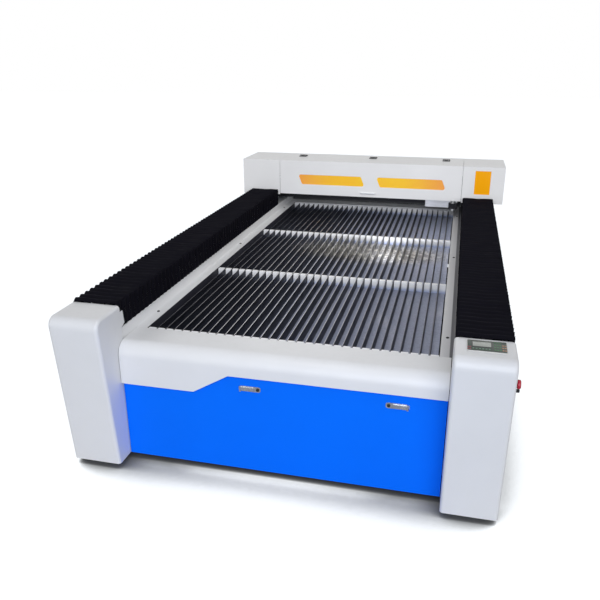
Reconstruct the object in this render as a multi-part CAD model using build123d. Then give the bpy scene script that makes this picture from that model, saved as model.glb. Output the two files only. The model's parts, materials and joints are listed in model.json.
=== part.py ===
"""Flat-bed laser cutting machine with a travelling covered gantry.

Millimetres, X to the right, Y to the rear, Z up, seen from the door side.
Pieces are drawn with y from the toe line of the front pods and z from the lower edge
of the cladding, and place() then moves them so that the origin is on the floor,
under the middle of the machine.
"""
from build123d import *
import os

os.makedirs("parts", exist_ok=True)

# Overall sizes
pod_span = 2100
machine_length = 3918
floor_gap = 35
sheet = 2
casing_wall = 3
seam_gap = 2
overcut = 1

# Front pods
pod_width = 256
pod_rise = 173
pod_lean = 68
pod_nose_drop = 56
pod_top_radius = 48
pod_edge_radius = 16
pod_depth = 150
pod_tab_length = 34
pod_tab_low_drop = 116
pod_tab_high_drop = 34
pod_tab_slant = 8

# Table, apron and rims
rim_height = 633
apron_face_y = 92
apron_radius = 71
opening_width = 1476
opening_front_y = 305
bed_rear_margin = 409
rim_flange_height = 60
rear_rim_depth = 149

# Blade bed
comb_drop = 5
comb_thickness = 25
comb_web = 40
comb_end_gap = 3
slat_count = 31
slat_pitch = 46
slat_height = 50
slat_top_width = 2
slat_base_width = 10
slat_drop = 2
slot_clearance = 0.5
tray_gap = 2
tray_side_gap = 8
tray_end_gap = 1.5

# Front door
door_plane_y = 112
door_depth = 28
door_low_top = 412
door_high_top = 518
door_step_start_x = -411
door_step_end_x = -230
door_bottom = 2
door_gap = 3
door_hinge_x = 520
door_hinge_depth = 11
door_hinge_height = 14
door_barrel_radius = 7
door_pin_radius = 4
door_barrel_length = 60
door_lug_length = 18
door_barrel_play = 1

# Door latches
latch_x = (-128, 572)
latch_height = 457
latch_length = 108
latch_width = 28
latch_plate = 4
latch_button_radius = 8
latch_button_inset = 14
latch_button_proud = 4
paddle_length = 66
paddle_width = 18
paddle_thickness = 4
paddle_pin_radius = 2
paddle_knuckle_radius = 4
paddle_gap = 0.3
paddle_side_gap = 0.5

# Frame and side beams
tube = 60
leg_size = 80
frame_inner_x = 822
beam_width = 208
beam_height = 120
beam_rise = 53
beam_wall = 6
beam_front_gap = 5
frame_front_y = 192
frame_rear_margin = 35
foot_radius = 40
foot_pad = 12
foot_stem_radius = 10

# Rear end
rear_cap_depth = 127
shaft_cover_rise = 94
panel_return = 20

# Bellows
bellows_inner_x = 802
bellows_outer_x = 1047
bellows_height = 137
bellows_wall = 2
pleat_depth = 10
pleat_count = 39
gantry_seal_gap = 3

# Long axis drive
rail_x = 890
rail_width = 23
rail_height = 22
rail_waist = 3
rail_end_gap = 45
block_width = 70
block_length = 84
block_height = 30
block_lift = 6
block_spacing = 240
rail_clearance = 0.5
belt_x = 985
belt_width = 30
belt_thickness = 3
belt_clearance = 0.3
belt_side_play = 1
pulley_radius = 30
pulley_side_gap = 4
pulley_axis_rise = 45
idler_y = 240
shaft_offset = 10
shaft_radius = 12
idler_pin_radius = 8
running_clearance = 0.05
bracket_plate = 8
bracket_base = 5
bearing_x = 690
bearing_size = 60
bearing_depth = 40
drive_motor_size = 86
drive_motor_length = 160

# Gantry
gantry_width = 2254
gantry_depth = 449
gantry_setback = 347
gantry_rise = 88
gantry_height = 304
lid_half_width = 788
lid_clearance = 10
lid_depth = 284
lid_flange = 16
cross_beam_setback = 106
cross_beam_depth = 100
cross_beam_height = 140
cross_beam_half = 960
foot_plate = 12
foot_plate_setback = 56
foot_plate_length = 340
foot_plate_inner_x = 850
foot_plate_outer_x = 1015

# Gantry windows and hinges
window_top_inner_x = 67
window_length = 555
window_slant = 34
window_drop = 120
window_height = 84
window_radius = 16
pane_thickness = 3
pane_margin = 9
end_window_x = 952
end_window_width = 126
end_window_height = 194
end_window_drop = 131
lid_hinge_x = (-640, 0, 640)
lid_hinge_width = 62
lid_leaf_length = 42
lid_leaf = 5
lid_knuckle_radius = 6
lid_pin_radius = 3
lid_leaf_relief = 1
handle_width = 131
handle_depth = 14
handle_thickness = 9
handle_rise = 34

# Cross axis and laser head
x_rail_size = 15
x_rail_rise = 66
x_rail_half = 785
x_pulley_x = 830
x_pulley_radius = 20
x_belt_setback = 131
x_belt_width = 15
x_belt_thickness = 2
x_motor_size = 86
x_motor_length = 90
x_shaft_radius = 7
lug_thickness = 10
head_left_x = 492
head_right_x = 762
head_plate = 10
head_drop = 87
head_height = 192
head_block_x = 610
head_block_length = 100
head_block_height = 31
head_arm_width = 60
head_arm_thickness = 20
head_arm_reach = 90
holder_width = 72
holder_height = 46
lens_radius = 21
lens_setback = 44
lens_length = 188
nozzle_gap = 19
nozzle_tip_radius = 4
nozzle_cone = 40
holder_setback = 20

# Laser tube
laser_radius = 40
laser_length = 1400
laser_neck_radius = 14
laser_neck_length = 60
laser_setback = 326
laser_rise = 161
clamp_x = 430
clamp_width = 40
clamp_wall = 14
clamp_clearance = 0.3

# Controls on the right pod
panel_x = 927
panel_y = 68
panel_width = 163
panel_depth = 110
panel_thickness = 6
screen_width = 62
screen_depth = 40
screen_recess = 1.5
key_size = 9
key_pitch = 15
key_row_pitch = 18
key_columns = 4
key_rows = 5
key_height = 1.2
stop_y = 62
stop_drop = 151
stop_collar_radius = 22
stop_collar_height = 8
stop_head_radius = 20
stop_head_height = 16
stop_stem_radius = 11
stop_travel = 4
stop_rest_gap = 0.5
key_height_below_stop = 31
key_barrel_radius = 7
key_barrel_proud = 14
key_bow_width = 16
key_bow_thickness = 3
key_bow_reach = 13

# Places worked out from the sizes
pod_outer_x = pod_span / 2
pod_inner_x = pod_outer_x - pod_width
pod_height = rim_height + pod_rise
pod_nose_height = pod_height - pod_nose_drop
pod_tab_low = pod_height - pod_tab_low_drop
pod_tab_high = pod_height - pod_tab_high_drop
stop_height = pod_height - stop_drop
apron_half = pod_inner_x - seam_gap
opening_half = opening_width / 2
machine_rear_y = machine_length - pod_lean
opening_rear_y = machine_rear_y - bed_rear_margin
opening_length = opening_rear_y - opening_front_y
rim_rear_y = opening_rear_y + rear_rim_depth
rear_cap_front_y = machine_rear_y - rear_cap_depth
comb_top = rim_height - comb_drop
slat_top = comb_top - slat_drop
slat_bottom = slat_top - slat_height
comb_bottom = slat_bottom - comb_web
comb_step = (opening_length - comb_thickness) / 3
comb_ys = [opening_front_y + index * comb_step for index in range(4)]
slat_xs = [(index - (slat_count - 1) / 2) * slat_pitch for index in range(slat_count)]
beam_outer_x = frame_inner_x + beam_width
beam_top = rim_height + beam_rise
beam_bottom = beam_top - beam_height
beam_front_y = pod_depth + beam_front_gap
beam_rear_y = rear_cap_front_y - seam_gap
frame_rear_y = machine_rear_y - frame_rear_margin
shaft_y = (rear_cap_front_y + machine_rear_y) / 2 - shaft_offset
shaft_cover_top = beam_top + shaft_cover_rise
bellows_top = beam_top + bellows_height
pulley_axis_height = beam_top + pulley_axis_rise
rail_top = beam_top + rail_height
block_top = beam_top + block_lift + block_height
foot_plate_top = block_top + foot_plate
cross_beam_top = foot_plate_top + cross_beam_height
gantry_front_y = opening_rear_y - gantry_setback
gantry_bottom = beam_top + gantry_rise
gantry_top = gantry_bottom + gantry_height
foot_plate_front = gantry_front_y + foot_plate_setback
cross_beam_y = gantry_front_y + cross_beam_setback
cross_beam_rear_y = cross_beam_y + cross_beam_depth
gantry_half = gantry_width / 2
gantry_rear_y = gantry_front_y + gantry_depth
lid_bottom = gantry_bottom + lid_clearance
lid_rear_y = gantry_front_y + lid_depth
lid_hinge_y = lid_rear_y + seam_gap
lid_hinge_height = gantry_top + lid_knuckle_radius
end_cover_x = lid_half_width + seam_gap
window_top = gantry_top - window_drop
end_window_mid = gantry_top - end_window_drop
handle_height = lid_bottom + handle_rise
door_half = pod_inner_x - door_gap
door_hinge_y = door_plane_y + door_hinge_depth
x_pulley_height = cross_beam_top + x_motor_size / 2
x_belt_y = gantry_front_y + x_belt_setback
x_motor_y = x_belt_y + x_belt_width + seam_gap + belt_side_play
x_rail_height = foot_plate_top + x_rail_rise
head_low = x_rail_height - head_drop
head_top = head_low + head_height
holder_front_y = gantry_front_y + holder_setback
nozzle_tip = rim_height + nozzle_gap
lens_top = nozzle_tip + lens_length
lens_x = head_right_x - holder_width / 2
lens_y = gantry_front_y + lens_setback
laser_y = gantry_front_y + laser_setback
laser_height = gantry_bottom + laser_rise
head_plate_front_y = cross_beam_y - x_rail_size - head_arm_reach / 3 + head_plate / 2


# Shape helpers
def block(x_span, y_span, z_span):
    """Box between two coordinates on each axis."""
    size = [high - low for low, high in (x_span, y_span, z_span)]
    middle = [(high + low) / 2 for low, high in (x_span, y_span, z_span)]
    return Pos(*middle) * Box(*size)


def prism_x(points, low, high):
    """Outline in Y and Z, carried along X."""
    outline = make_face(Polyline(*points, close=True))
    return extrude(Plane.YZ.offset(low) * outline, high - low)


def prism_y(points, low, high):
    """Outline in X and Z, carried along Y."""
    outline = make_face(Polyline(*points, close=True))
    face_plane = Plane(origin=(0, high, 0), x_dir=(1, 0, 0), z_dir=(0, -1, 0))
    return extrude(face_plane * outline, high - low)


def rod_x(radius, low, high, y, z):
    return Pos((low + high) / 2, y, z) * Rot(0, 90, 0) * Cylinder(radius, high - low)


def rod_y(radius, low, high, x, z):
    return Pos(x, (low + high) / 2, z) * Rot(90, 0, 0) * Cylinder(radius, high - low)


def rod_z(radius, low, high, x, y):
    return Pos(x, y, (low + high) / 2) * Cylinder(radius, high - low)


def hexagon_bar(radius, low, high):
    """Upright six-sided bar round the Z axis."""
    return Pos(0, 0, low) * extrude(RegularPolygon(radius, 6), high - low)


def mirrored(shape):
    return mirror(shape, about=Plane.YZ)


def both_sides(shape):
    return [shape, mirrored(shape)]


def belt_loop(radius, thickness, first, second):
    """Closed belt outline round two pulleys, in the plane of the two centres."""
    span = second - first
    outer = SlotCenterToCenter(span, 2 * (radius + thickness))
    inner = SlotCenterToCenter(span, 2 * radius)
    return Pos((first + second) / 2, 0) * (outer - inner)


def place(shape):
    """Move from the drawing frame to the floor frame."""
    return Pos(0, pod_lean - machine_length / 2, floor_gap) * shape


def save(name, *solids):
    """Write one node; several like solids stay separate in it."""
    placed = []
    for solid in solids:
        placed.extend(place(solid).solids())
    shape = placed[0] if len(placed) == 1 else Compound(children=placed)
    export_step(shape, f"parts/{name}.step")


# Base frame: welded tubes, feet and side beams
def frame_tubes():
    tubes = []
    leg_outer_x = frame_inner_x + leg_size
    ring_low = beam_bottom - tube
    stations = [y + comb_thickness / 2 for y in comb_ys]
    for side in (-1, 1):
        x_span = sorted((side * frame_inner_x, side * leg_outer_x))
        for low in (0, ring_low):
            tubes.append(block(x_span, (frame_front_y, frame_rear_y), (low, low + tube)))
        for y in stations:
            tubes.append(block(x_span, (y - leg_size / 2, y + leg_size / 2), (tube, ring_low)))
    for y in stations:
        y_span = (y - tube / 2, y + tube / 2)
        tubes.append(block((-frame_inner_x, frame_inner_x), y_span, (0, tube)))
        tubes.append(block((-frame_inner_x, frame_inner_x), y_span, (comb_bottom - tube, comb_bottom)))
    rear_span = (frame_rear_y - leg_size, frame_rear_y)
    tubes.append(block((-frame_inner_x, frame_inner_x), rear_span, (ring_low, beam_bottom)))
    post_top = pulley_axis_height - bearing_size / 2
    for x in (-bearing_x, bearing_x):
        post_x = (x - bearing_size / 2, x + bearing_size / 2)
        tubes.append(block(post_x, (shaft_y - bearing_depth, rear_span[1]), (beam_bottom, post_top)))
    motor_x = (-drive_motor_length / 2, drive_motor_length / 2)
    motor_low = pulley_axis_height - drive_motor_size / 2
    tubes.append(block(motor_x, (shaft_y - bearing_depth, rear_span[1]), (beam_bottom, motor_low)))
    return tubes


def levelling_feet():
    feet = []
    leg_x = frame_inner_x + leg_size / 2
    for y in comb_ys:
        for x in (-leg_x, leg_x):
            centre_y = y + comb_thickness / 2
            pad = hexagon_bar(foot_radius, -floor_gap, foot_pad - floor_gap)
            stem = hexagon_bar(foot_stem_radius, foot_pad - floor_gap, 0)
            feet.append(Pos(x, centre_y) * (pad + stem))
    return feet


def side_beam():
    outer = block((frame_inner_x, beam_outer_x), (beam_front_y, beam_rear_y), (beam_bottom, beam_top))
    hollow = block(
        (frame_inner_x + beam_wall, beam_outer_x - beam_wall),
        (beam_front_y, beam_rear_y),
        (beam_bottom + beam_wall, beam_top - beam_wall),
    )
    return outer - hollow


# Cladding
def pod_form(wall, rear_y, soften):
    """Leaning front housing with softened nose and sides, drawn in by a wall's thickness."""
    slope = pod_lean / pod_nose_height
    face_shift = wall * (1 + slope**2) ** 0.5
    nose_y = wall - pod_lean
    profile = [
        (face_shift - slope * wall, wall),
        (nose_y, pod_nose_height),
        (nose_y, pod_height - wall),
        (rear_y, pod_height - wall),
        (rear_y, wall),
    ]
    low_x, high_x = pod_inner_x + wall, pod_outer_x - wall
    form = prism_x(profile, low_x, high_x)
    nose = form.edges().filter_by(Axis.X).group_by(Axis.Y)[0].sort_by(Axis.Z)
    form = soften(nose[-1], pod_top_radius - wall)
    front_edges = []
    for edge in form.edges():
        middle = edge.center()
        on_side = min(abs(middle.X - low_x), abs(middle.X - high_x)) < overcut
        if on_side and middle.Y < pod_depth / 2 and wall + overcut < middle.Z:
            front_edges.append(edge)
    return soften(front_edges, pod_edge_radius - wall)


def pod(outer_wall_holes=False):
    """Right front pod: a shell open to the rear, with a tab beside the bellows."""
    cavity = pod_form(casing_wall, pod_depth + overcut, chamfer)
    shell = pod_form(0, pod_depth, fillet) - cavity
    tab_y = pod_depth + pod_tab_length
    tab = prism_x(
        [
            (pod_depth, pod_tab_low),
            (tab_y, pod_tab_low + pod_tab_length / 2),
            (tab_y - pod_tab_slant, pod_tab_high),
            (pod_depth, pod_tab_high),
        ],
        pod_inner_x,
        pod_inner_x + casing_wall,
    )
    shell = shell + tab
    if outer_wall_holes:
        for radius, height in (
            (stop_stem_radius + overcut, stop_height),
            (key_barrel_radius + running_clearance, stop_height - key_height_below_stop),
        ):
            shell = shell - rod_x(
                radius, pod_outer_x - 2 * casing_wall, pod_outer_x + overcut, stop_y, height
            )
    return shell


def apron():
    """Folded front sheet: flat lip, big round, face with a stepped lower edge and its return."""
    top_front = apron_face_y + apron_radius
    low = door_low_top + door_gap
    lip = opening_front_y - sheet
    with BuildSketch(Plane.YZ) as section:
        with BuildLine():
            Line((opening_front_y, rim_height), (top_front, rim_height))
            RadiusArc((top_front, rim_height), (apron_face_y, rim_height - apron_radius), -apron_radius)
            Line((apron_face_y, rim_height - apron_radius), (apron_face_y, low))
            Line((apron_face_y, low), (apron_face_y + sheet, low))
            Line((apron_face_y + sheet, low), (apron_face_y + sheet, rim_height - apron_radius))
            RadiusArc(
                (apron_face_y + sheet, rim_height - apron_radius),
                (top_front, rim_height - sheet),
                apron_radius - sheet,
            )
            Line((top_front, rim_height - sheet), (lip, rim_height - sheet))
            Line((lip, rim_height - sheet), (lip, rim_height - rim_flange_height))
            Line((lip, rim_height - rim_flange_height), (opening_front_y, rim_height - rim_flange_height))
            Line((opening_front_y, rim_height - rim_flange_height), (opening_front_y, rim_height))
        make_face()
    folded = Pos(-apron_half, 0, 0) * extrude(section.sketch, 2 * apron_half)
    high = door_high_top + door_gap
    step = [
        (-apron_half - overcut, low),
        (door_step_start_x, low),
        (door_step_end_x, high),
        (apron_half + overcut, high),
    ]
    below = prism_y(
        step + [(apron_half + overcut, low - overcut), (-apron_half - overcut, low - overcut)],
        apron_face_y - overcut,
        opening_front_y - sheet,
    )
    edge = [(-apron_half, low)] + step[1:3] + [(apron_half, high)]
    raised = [(x, z + sheet) for x, z in reversed(edge)]
    lower_return = prism_y(edge + raised, apron_face_y, door_plane_y + door_depth)
    return folded - below + lower_return


def side_rim():
    """Right rim: down flange at the opening, flat, upstand and a return onto the side beam."""
    flat_low = rim_height - sheet
    y_span = (opening_front_y, rim_rear_y)
    flange = block(
        (opening_half, opening_half + sheet), y_span, (rim_height - rim_flange_height, flat_low)
    )
    flat = block((opening_half, bellows_inner_x), y_span, (flat_low, rim_height))
    front_span = (pod_depth + beam_front_gap, opening_front_y)
    front_strip = block((pod_inner_x, bellows_inner_x), front_span, (flat_low, rim_height))
    tall_span = (pod_depth + beam_front_gap, rim_rear_y)
    upstand = block((bellows_inner_x - sheet, bellows_inner_x), tall_span, (flat_low, beam_top))
    onto_beam = block((bellows_inner_x - sheet, frame_inner_x), tall_span, (beam_top - sheet, beam_top))
    return flange + flat + front_strip + upstand + onto_beam


def rear_rim():
    flat_low = rim_height - sheet
    flat = block((-opening_half, opening_half), (opening_rear_y, rim_rear_y), (flat_low, rim_height))
    flange = block(
        (-opening_half, opening_half),
        (opening_rear_y, opening_rear_y + sheet),
        (rim_height - rim_flange_height, flat_low),
    )
    return flat + flange


def side_panel():
    y_span = (pod_depth, rear_cap_front_y)
    wall = block((pod_outer_x - sheet, pod_outer_x), y_span, (0, beam_top))
    onto_beam = block((beam_outer_x, pod_outer_x), y_span, (beam_top - sheet, beam_top))
    foot_fold = block((pod_outer_x - panel_return, pod_outer_x), y_span, (0, sheet))
    return wall + onto_beam + foot_fold


def rear_cap():
    """Right rear cap: shell round the belt end, open to the bellows and below the table inside."""
    y_span = (rear_cap_front_y, machine_rear_y)
    shell = block((pod_inner_x, pod_outer_x), y_span, (0, pod_height))
    rear_edges = shell.edges().filter_by(Axis.X).group_by(Axis.Y)[-1].sort_by(Axis.Z)
    shell = fillet(rear_edges[-1], pod_edge_radius)
    cavity = block(
        (pod_inner_x + casing_wall, pod_outer_x - casing_wall),
        (rear_cap_front_y, machine_rear_y - casing_wall),
        (0, pod_height - pod_edge_radius),
    )
    inner_gap = block(
        (pod_inner_x, pod_inner_x + casing_wall),
        (rear_cap_front_y, machine_rear_y - casing_wall),
        (0, rim_height),
    )
    shaft_hole = rod_x(
        2 * shaft_radius, pod_inner_x, pod_inner_x + casing_wall, shaft_y, pulley_axis_height
    )
    return shell - cavity - inner_gap - shaft_hole


def rear_panel():
    wall = block(
        (-apron_half, apron_half), (machine_rear_y - sheet, machine_rear_y), (0, shaft_cover_top)
    )
    foot_fold = block(
        (-apron_half, apron_half), (machine_rear_y - panel_return, machine_rear_y), (0, sheet)
    )
    return wall + foot_fold


def shaft_cover():
    top = block(
        (-apron_half, apron_half),
        (rim_rear_y, machine_rear_y - sheet),
        (shaft_cover_top - sheet, shaft_cover_top),
    )
    front = block(
        (-apron_half, apron_half),
        (rim_rear_y, rim_rear_y + sheet),
        (rim_height - sheet, shaft_cover_top - sheet),
    )
    return top + front


# Blade bed
def comb_bar(y):
    half = opening_half - comb_end_gap
    bar = block((-half, half), (y, y + comb_thickness), (comb_bottom, comb_top))
    slot_half = slat_base_width / 2 + slot_clearance
    slots = [
        block((x - slot_half, x + slot_half), (y, y + comb_thickness), (slat_bottom, comb_top))
        for x in slat_xs
    ]
    return bar - slots


def slat(x):
    """Knife slat, narrow at the top, standing in the comb slots from end to end."""
    outline = [
        (x - slat_base_width / 2, slat_bottom),
        (x + slat_base_width / 2, slat_bottom),
        (x + slat_top_width / 2, slat_top),
        (x - slat_top_width / 2, slat_top),
    ]
    return prism_y(outline, opening_front_y, opening_rear_y)


def debris_tray(y):
    """Tray between two comb bars, its end folds standing on the cross tubes."""
    half = opening_half - tray_side_gap
    front = y + comb_thickness + tray_end_gap
    rear = y + comb_step - tray_end_gap
    top = slat_bottom - tray_gap
    plate = block((-half, half), (front, rear), (top - sheet, top))
    front_fold = block((-half, half), (front, front + sheet), (comb_bottom, top - sheet))
    rear_fold = block((-half, half), (rear - sheet, rear), (comb_bottom, top - sheet))
    return plate + front_fold + rear_fold


# Bellows: pleated covers, open below, made of flat cloth panels between folds
def fold_ring(y, inset):
    """Corners of the cloth at one fold: round the outside and back along the inside."""
    corners = []
    for wall in (0, bellows_wall):
        low_x = bellows_inner_x + inset + wall
        high_x = bellows_outer_x - inset - wall
        top = bellows_top - inset - wall
        side = [(low_x, beam_top), (low_x, top), (high_x, top), (high_x, beam_top)]
        corners.append([(x, y, z) for x, z in side])
    return corners[0] + corners[1][::-1]


def bellows(front, rear):
    half_pitch = (rear - front) / (2 * pleat_count)
    rings = []
    for index in range(2 * pleat_count + 1):
        inset = 0 if index % 2 else pleat_depth
        rings.append(fold_ring(front + index * half_pitch, inset))
    panels = [make_face(Polyline(*ring, close=True)) for ring in (rings[0], rings[-1])]
    for ring, following in zip(rings, rings[1:]):
        for corner in range(len(ring)):
            beside = (corner + 1) % len(ring)
            panel = Polyline(
                ring[corner], ring[beside], following[beside], following[corner], close=True
            )
            panels.append(make_face(panel))
    return Solid(Shell(panels))


# Long axis drive
def linear_rail():
    low, high = rail_x - rail_width / 2, rail_x + rail_width / 2
    third = rail_height / 3
    outline = [
        (low, beam_top),
        (high, beam_top),
        (high, beam_top + third),
        (high - rail_waist, beam_top + third + rail_waist),
        (high - rail_waist, rail_top - 2 * rail_waist),
        (high, rail_top - rail_waist),
        (high, rail_top),
        (low, rail_top),
        (low, rail_top - rail_waist),
        (low + rail_waist, rail_top - 2 * rail_waist),
        (low + rail_waist, beam_top + third + rail_waist),
        (low, beam_top + third),
    ]
    return prism_y(outline, beam_front_y + rail_end_gap, beam_rear_y - rail_end_gap / 2)


def rail_block(y):
    body = block(
        (rail_x - block_width / 2, rail_x + block_width / 2),
        (y - block_length / 2, y + block_length / 2),
        (beam_top + block_lift, block_top),
    )
    half = rail_width / 2 + rail_clearance
    channel = block(
        (rail_x - half, rail_x + half),
        (y - block_length / 2, y + block_length / 2),
        (beam_top + block_lift, rail_top + rail_clearance),
    )
    return body - channel


def long_belt():
    loop = belt_loop(pulley_radius + belt_clearance, belt_thickness, idler_y, shaft_y)
    flat = Plane.YZ.offset(belt_x - belt_width / 2) * (Pos(0, pulley_axis_height) * loop)
    return extrude(flat, belt_width)


def drive_shaft():
    shaft = rod_x(shaft_radius, -belt_x - belt_width, belt_x + belt_width, shaft_y, pulley_axis_height)
    wheel = Cylinder(pulley_radius, belt_width + belt_side_play)
    for x in (-belt_x, belt_x):
        shaft = shaft + Pos(x, shaft_y, pulley_axis_height) * Rot(0, 90, 0) * wheel
    return shaft


def idler_pulley():
    wheel = Cylinder(pulley_radius, belt_width + belt_side_play)
    wheel = wheel - Cylinder(idler_pin_radius + running_clearance, 2 * belt_width)
    return Pos(belt_x, idler_y, pulley_axis_height) * Rot(0, 90, 0) * wheel


def idler_bracket():
    gap = belt_width / 2 + pulley_side_gap
    half_depth = pulley_radius * 2 / 3
    ear_top = pulley_axis_height + 2 * idler_pin_radius
    y_span = (idler_y - half_depth, idler_y + half_depth)
    bracket = block(
        (belt_x - gap - bracket_plate, belt_x + gap + bracket_plate),
        y_span,
        (beam_top, beam_top + bracket_base),
    )
    for side in (-1, 1):
        x_span = sorted((belt_x + side * gap, belt_x + side * (gap + bracket_plate)))
        bracket = bracket + block(x_span, y_span, (beam_top, ear_top))
    ends = gap + bracket_plate
    return bracket + rod_x(idler_pin_radius, belt_x - ends, belt_x + ends, idler_y, pulley_axis_height)


def shaft_bearing(x):
    low = pulley_axis_height - bearing_size / 2
    body = block(
        (x - bearing_size / 2, x + bearing_size / 2),
        (shaft_y - bearing_depth / 2 - shaft_radius, shaft_y + bearing_depth / 2 + shaft_radius),
        (low, low + bearing_size),
    )
    bore = rod_x(
        shaft_radius + running_clearance, x - bearing_size, x + bearing_size, shaft_y, pulley_axis_height
    )
    return body - bore


def drive_motor():
    half = drive_motor_size / 2
    body = block(
        (-drive_motor_length / 2, drive_motor_length / 2),
        (shaft_y - half, shaft_y + half),
        (pulley_axis_height - half, pulley_axis_height + half),
    )
    body = chamfer(body.edges().filter_by(Axis.X), half / 6)
    bore = rod_x(
        shaft_radius + running_clearance,
        -drive_motor_length,
        drive_motor_length,
        shaft_y,
        pulley_axis_height,
    )
    return body - bore


# Gantry structure
def cross_beam():
    outer = block(
        (-cross_beam_half, cross_beam_half),
        (cross_beam_y, cross_beam_rear_y),
        (foot_plate_top, cross_beam_top),
    )
    hollow = block(
        (-cross_beam_half, cross_beam_half),
        (cross_beam_y + beam_wall, cross_beam_rear_y - beam_wall),
        (foot_plate_top + beam_wall, cross_beam_top - beam_wall),
    )
    lug = block(
        (-x_pulley_x - x_pulley_radius, x_pulley_radius - x_pulley_x),
        (x_motor_y, x_motor_y + lug_thickness),
        (cross_beam_top, x_pulley_height + x_pulley_radius),
    )
    pin = rod_y(x_shaft_radius, x_belt_y - 2 * seam_gap, x_motor_y, -x_pulley_x, x_pulley_height)
    return outer - hollow + lug + pin


def gantry_foot():
    y_span = (foot_plate_front, foot_plate_front + foot_plate_length)
    plate = block((foot_plate_inner_x, foot_plate_outer_x), y_span, (block_top, foot_plate_top))
    strand_low = pulley_axis_height + pulley_radius + belt_clearance
    clamp_y = (cross_beam_rear_y + foot_plate, cross_beam_rear_y + 4 * foot_plate)
    half = belt_width / 2 + bracket_plate
    clamp = block(
        (belt_x - half, belt_x + half),
        clamp_y,
        (foot_plate_top, strand_low + belt_thickness + bracket_plate),
    )
    strand_half = belt_width / 2 + belt_clearance
    strand = block(
        (belt_x - strand_half, belt_x + strand_half),
        clamp_y,
        (strand_low - belt_clearance, strand_low + belt_thickness + belt_clearance),
    )
    return plate + clamp - strand


def gantry_end(with_window):
    """Right end cover: box shell open towards the middle, its floor only outside the foot."""
    x_span = (end_cover_x, gantry_half)
    y_span = (gantry_front_y, gantry_rear_y)
    shell = block(x_span, y_span, (gantry_bottom, gantry_top))
    cavity = block(
        (end_cover_x, gantry_half - sheet),
        (gantry_front_y + sheet, gantry_rear_y - sheet),
        (gantry_bottom + sheet, gantry_top - sheet),
    )
    floor_hole = block(
        (end_cover_x, foot_plate_outer_x + foot_plate),
        (gantry_front_y + sheet, gantry_rear_y - sheet),
        (gantry_bottom, gantry_bottom + sheet),
    )
    shell = shell - cavity - floor_hole
    if with_window:
        shell = shell - block(
            (end_window_x - end_window_width / 2, end_window_x + end_window_width / 2),
            (gantry_front_y, gantry_front_y + sheet),
            (end_window_mid - end_window_height / 2, end_window_mid + end_window_height / 2),
        )
    return shell


def end_window():
    return block(
        (
            end_window_x - end_window_width / 2 - pane_margin,
            end_window_x + end_window_width / 2 + pane_margin,
        ),
        (gantry_front_y + sheet, gantry_front_y + sheet + pane_thickness),
        (
            end_window_mid - end_window_height / 2 - pane_margin,
            end_window_mid + end_window_height / 2 + pane_margin,
        ),
    )


def gantry_back_cover():
    x_span = (-end_cover_x, end_cover_x)
    wall = block(x_span, (gantry_rear_y - sheet, gantry_rear_y), (gantry_bottom, gantry_top))
    top = block(x_span, (lid_hinge_y + seam_gap, gantry_rear_y), (gantry_top - sheet, gantry_top))
    floor = block(x_span, (cross_beam_rear_y, gantry_rear_y), (gantry_bottom, gantry_bottom + sheet))
    return wall + top + floor


# Lid
def window_outline(inner_x, direction, margin=0):
    """Slanted window in the lid's front; direction 1 is the right one."""
    top = window_top + margin
    low = window_top - window_height - margin
    if direction > 0:
        left_top, right_top = inner_x - margin, inner_x + window_length + margin
    else:
        left_top, right_top = -inner_x - window_length - margin, margin - inner_x
    return [
        (left_top, top),
        (right_top, top),
        (right_top + window_slant, low),
        (left_top + window_slant, low),
    ]


def window_prism(direction, y_low, y_high, margin=0):
    prism = prism_y(window_outline(window_top_inner_x, direction, margin), y_low, y_high)
    return fillet(prism.edges().filter_by(Axis.Y), window_radius + margin)


def lid_cover():
    x_span = (-lid_half_width, lid_half_width)
    front = block(x_span, (gantry_front_y, gantry_front_y + sheet), (lid_bottom, gantry_top))
    top = block(x_span, (gantry_front_y, lid_rear_y), (gantry_top - sheet, gantry_top))
    bottom_fold = block(
        x_span, (gantry_front_y, gantry_front_y + lid_flange), (lid_bottom, lid_bottom + sheet)
    )
    cover = front + top + bottom_fold
    for side in (-1, 1):
        edge_span = sorted((side * (lid_half_width - sheet), side * lid_half_width))
        front_fold = block(
            edge_span, (gantry_front_y, gantry_front_y + lid_flange), (lid_bottom, gantry_top)
        )
        top_fold = block(edge_span, (gantry_front_y, lid_rear_y), (gantry_top - lid_flange, gantry_top))
        cover = cover + front_fold + top_fold
    for direction in (-1, 1):
        cover = cover - window_prism(
            direction, gantry_front_y - overcut, gantry_front_y + sheet + overcut
        )
    return cover


def lid_pane(direction):
    pane_y = gantry_front_y + sheet
    return window_prism(direction, pane_y, pane_y + pane_thickness, pane_margin)


def hinge_leaf(x, moving):
    """Butterfly hinge half: moving leaf on the lid in front, fixed leaf with the pin behind."""
    half = lid_hinge_width / 2
    third = lid_hinge_width / 6
    side = -1 if moving else 1
    relief = lid_knuckle_radius + lid_leaf_relief
    leaf_y = sorted((lid_hinge_y + side * relief, lid_hinge_y + side * lid_leaf_length))
    leaf = block((x - half, x + half), leaf_y, (gantry_top, gantry_top + lid_leaf))
    arm_y = sorted((lid_hinge_y, lid_hinge_y + side * relief))
    if moving:
        spans = [(x - third, x + third)]
    else:
        spans = [(x - half, x - third - running_clearance), (x + third + running_clearance, x + half)]
    for span in spans:
        leaf = leaf + block(span, arm_y, (gantry_top + lid_leaf_relief, gantry_top + lid_leaf))
        leaf = leaf + rod_x(lid_knuckle_radius, span[0], span[1], lid_hinge_y, lid_hinge_height)
    if moving:
        bore = lid_pin_radius + running_clearance
        return leaf - rod_x(bore, x - half, x + half, lid_hinge_y, lid_hinge_height)
    return leaf + rod_x(lid_pin_radius, x - half, x + half, lid_hinge_y, lid_hinge_height)


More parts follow.
